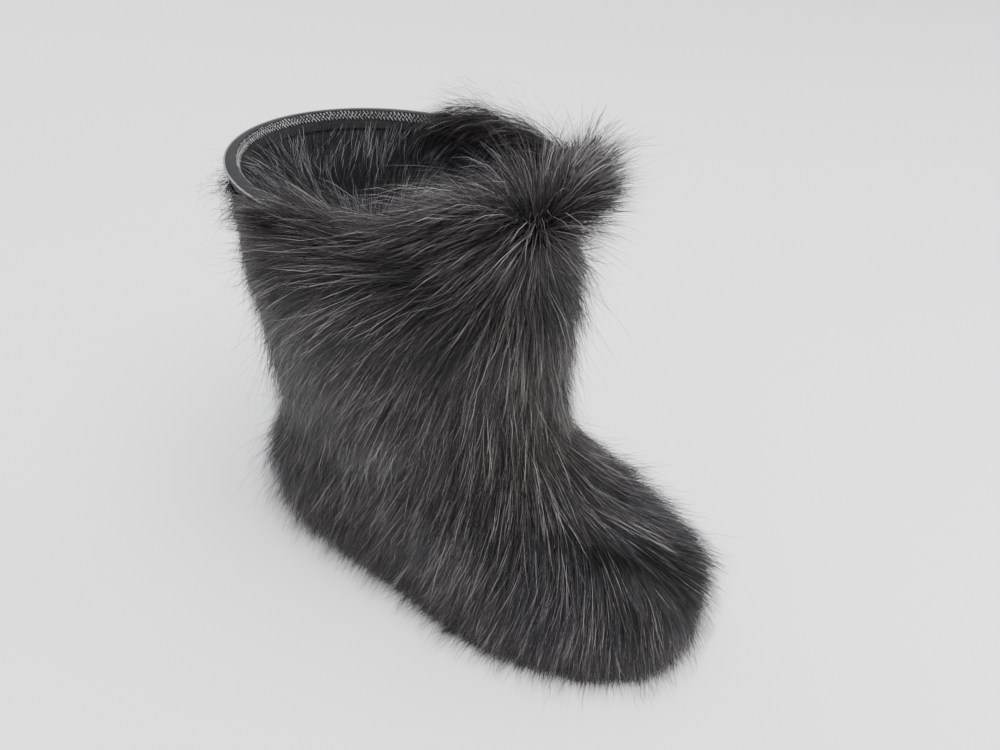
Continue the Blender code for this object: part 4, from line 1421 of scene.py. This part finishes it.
def make_piping(grain):
    """Thin cord along the tape's outer fold."""
    angle = turn(PIPING_COLUMNS)
    edge, outward, up, _ = rim_frame(angle)
    middle = edge + outward * (GAP + BINDING_THICKNESS * 0.75) + up * (GAP + BINDING_THICKNESS * 0.85)
    rings = []
    for side in range(PIPING_SIDES):
        turned = 2.0 * math.pi * side / PIPING_SIDES
        rings.append(middle + (outward * math.cos(turned) + up * math.sin(turned)) * PIPING_RADIUS)
    material = rough_material("piping", grain, PIPING)
    faces = grid_faces(PIPING_SIDES, PIPING_COLUMNS, wrap=True)
    piping = mesh_object("collar_piping", np.concatenate(rings), faces, material)
    finish_piece(piping, "tape")


def paint(node_name, material):
    """Gives a piece of the frame its finish."""
    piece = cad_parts[node_name]
    piece.data.materials.clear()
    piece.data.materials.append(material)


def grain_group():
    """Fine grain for a plain finish: a mottled colour between two shades, and the relief that goes with it."""
    inputs = (
        ("Place", "NodeSocketVector", None),
        ("Dark", "NodeSocketColor", (0.01, 0.01, 0.01, 1.0)),
        ("Light", "NodeSocketColor", (0.03, 0.03, 0.03, 1.0)),
        ("Grains a Metre", "NodeSocketFloat", 900.0),
        ("Wear", "NodeSocketFloat", 0.3),
    )
    outputs = (("Color", "NodeSocketColor"), ("Height", "NodeSocketFloat"))
    tree, wires, end = new_tree("fine_grain", "ShaderNodeTree", inputs, outputs)
    feeds = {"Vector": wires["Place"], "Scale": wires["Grains a Metre"], "Detail": 6.0}
    fine = output(add_node(tree, "ShaderNodeTexNoise", feeds), "Fac")
    feeds = {"Vector": wires["Place"], "Scale": wires["Grains a Metre"] * 0.035, "Detail": 3.0}
    broad = output(add_node(tree, "ShaderNodeTexNoise", feeds), "Fac")
    share = (fine - 0.35) * 2.8 + (broad - 0.5) * wires["Wear"] * 3.0
    share = share.combine("MAXIMUM", 0.0).combine("MINIMUM", 1.0)
    mixed = add_node(tree, "ShaderNodeMix", data_type="RGBA")
    feed_mix(tree, mixed, share, wires["Dark"], wires["Light"])
    link(tree, output(mixed, "Result"), end.inputs["Color"])
    link(tree, fine, end.inputs["Height"])
    return tree


def place_grain(tree, group, where, finish):
    """A grain node in a material, set for a finish."""
    node = tree.nodes.new("ShaderNodeGroup")
    node.node_tree = group
    link(tree, where, node.inputs["Place"])
    node.inputs["Dark"].default_value = (*finish.dark, 1.0)
    node.inputs["Light"].default_value = (*finish.light, 1.0)
    node.inputs["Grains a Metre"].default_value = finish.grain
    node.inputs["Wear"].default_value = finish.wear
    return node


# Plain finishes: their darkest and lightest colour, the grains in a metre, how patchy the wear is, the shader's
# roughness and the relief's depth.
Finish = namedtuple("Finish", "dark light grain wear roughness relief")
THREAD = Finish((0.06, 0.06, 0.06), (0.42, 0.42, 0.42), 900.0, 0.2, 0.7, 0.0001)
PIPING = Finish((0.10, 0.10, 0.10), (0.24, 0.24, 0.235), 1800.0, 0.2, 0.6, 0.0001)
LINING = Finish((0.008, 0.008, 0.010), (0.028, 0.027, 0.030), 900.0, 0.4, 0.9, 0.0006)
HIDE = Finish((0.016, 0.014, 0.013), (0.045, 0.040, 0.037), 1400.0, 0.8, 0.8, 0.0002)
TAPE = Finish((0.006, 0.006, 0.007), (0.024, 0.024, 0.025), 1500.0, 0.3, 0.85, 0.0002)
FELT = Finish((0.03, 0.03, 0.032), (0.07, 0.068, 0.07), 700.0, 0.5, 0.95, 0.0004)
RUBBER = Finish((0.010, 0.010, 0.011), (0.024, 0.024, 0.025), 320.0, 0.9, 0.6, 0.0001)
# The tape's weave: ribs round the collar and across the tape.
COLLAR_CENTRE = (0.0, -0.045)
RIBS_ROUND = 520.0
RIBS_ACROSS = 4200.0


def rough_material(name, group, finish, relief=None):
    """A plain finish with a fine grain in its colour and its surface."""
    material, tree, shader = new_material(name, finish.roughness, {"Specular IOR Level": 0.35})
    where = output(add_node(tree, "ShaderNodeTexCoord"), "Object")
    node = place_grain(tree, group, where, finish)
    link(tree, output(node, "Color"), shader.inputs["Base Color"])
    height = output(node, "Height")
    height = height + relief(tree, where) if relief else height
    bump = add_node(tree, "ShaderNodeBump", {"Height": height, "Distance": finish.relief, "Strength": 0.7})
    link(tree, output(bump, "Normal"), shader.inputs["Normal"])
    return material


def weave(tree, where):
    """Ribs of a woven tape, from the place round the collar and up it."""
    across = where.part("X") - COLLAR_CENTRE[0]
    along = where.part("Y") - COLLAR_CENTRE[1]
    turned = along.combine("ARCTAN2", across)
    ribs = (turned * RIBS_ROUND + where.part("Z") * RIBS_ACROSS).combine("SINE", 0.0)
    cross_ribs = (turned * RIBS_ROUND - where.part("Z") * RIBS_ACROSS).combine("SINE", 0.0)
    return ribs.combine("MAXIMUM", cross_ribs) * 0.8


def upper_material(group):
    """Lining cloth on the faces that look in at the shaft's middle, suede hide on those that look out."""
    material, tree, shader = new_material("hide_and_lining", LINING.roughness, {"Specular IOR Level": 0.3})
    where = output(add_node(tree, "ShaderNodeTexCoord"), "Object")
    facing = output(add_node(tree, "ShaderNodeNewGeometry"), "Normal")
    level = (where - (*COLLAR_CENTRE, 0.0)) * (1.0, 1.0, 0.0)
    outside = (facing.dot(level) * 900.0).combine("MAXIMUM", 0.0).combine("MINIMUM", 1.0)
    cloth = place_grain(tree, group, where, LINING)
    hide = place_grain(tree, group, where, HIDE)
    colour = add_node(tree, "ShaderNodeMix", data_type="RGBA")
    feed_mix(tree, colour, outside, output(cloth, "Color"), output(hide, "Color"))
    link(tree, output(colour, "Result"), shader.inputs["Base Color"])
    height = output(cloth, "Height") * (output_one(tree) - outside) + output(hide, "Height") * outside * 0.4
    bump = add_node(tree, "ShaderNodeBump", {"Height": height, "Distance": LINING.relief, "Strength": 0.7})
    link(tree, output(bump, "Normal"), shader.inputs["Normal"])
    return material


def make_stage():
    """Pale floor, and soft light from above and the front."""
    bpy.ops.mesh.primitive_plane_add(size=8.0)
    floor = bpy.context.object
    floor.name = "floor"
    material, tree, shader = new_material("floor_paper", 0.9)
    shader.inputs["Base Color"].default_value = (0.96, 0.96, 0.96, 1.0)
    floor.data.materials.append(material)
    world = bpy.data.worlds.new("studio")
    world.use_nodes = True
    world.node_tree.nodes["Background"].inputs["Color"].default_value = (0.95, 0.97, 1.0, 1.0)
    world.node_tree.nodes["Background"].inputs["Strength"].default_value = 1.30
    bpy.context.scene.world = world
    for name, place, size, power in (
        ("key", (-0.35, -0.8, 1.8), 1.1, 46.0),
        ("fill", (1.3, -1.4, 1.1), 1.4, 14.0),
        ("back", (0.4, 1.6, 1.3), 1.2, 12.0),
    ):
        light = bpy.data.lights.new(name, "AREA")
        light.size = size
        light.energy = power
        lamp = bpy.data.objects.new(name, light)
        lamp.location = place
        lamp.rotation_euler = (Vector((0.0, -0.08, 0.12)) - Vector(place)).to_track_quat("-Z", "Y").to_euler()
        bpy.context.scene.collection.objects.link(lamp)


CAMERA_TARGET = (0.0187, -0.0893, 0.1380)
CAMERA_DISTANCE = 0.541
CAMERA_AZIMUTH = -62.2
CAMERA_ELEVATION = 36.5
CAMERA_ROLL = 4.2
CAMERA_LENS = 33.4


def make_camera():
    turn_angle, height_angle, roll = map(math.radians, (CAMERA_AZIMUTH, CAMERA_ELEVATION, CAMERA_ROLL))
    level = math.cos(height_angle)
    back = Vector((math.sin(turn_angle) * level, -math.cos(turn_angle) * level, math.sin(height_angle)))
    right = Vector((0.0, 0.0, 1.0)).cross(back).normalized()
    up = back.cross(right)
    right, up = right * math.cos(roll) + up * math.sin(roll), up * math.cos(roll) - right * math.sin(roll)
    lens = bpy.data.cameras.new("camera")
    lens.lens = CAMERA_LENS
    lens.clip_start = 0.01
    camera = bpy.data.objects.new("camera", lens)
    place = Vector(CAMERA_TARGET) + back * CAMERA_DISTANCE
    camera.matrix_world = Matrix((right, up, back)).transposed().to_4x4()
    camera.location = place
    bpy.context.scene.collection.objects.link(camera)
    bpy.context.scene.camera = camera


def main():
    surface = coat_surface()
    tree = hair_tree()
    group = hair_colour_group()
    make_undercoat(surface)
    make_hair(surface, tree, group)
    make_hem(tree, group)
    make_collar_fringe(tree, group)
    make_lining_pile(tree, group)
    grain = grain_group()
    make_stitches(grain)
    make_piping(grain)
    paint("upper", upper_material(grain))
    paint("collar_binding", rough_material("tape", grain, TAPE, weave))
    paint("insole", rough_material("felt", grain, FELT))
    paint("outsole", rough_material("rubber", grain, RUBBER))
    make_stage()
    make_camera()


main()
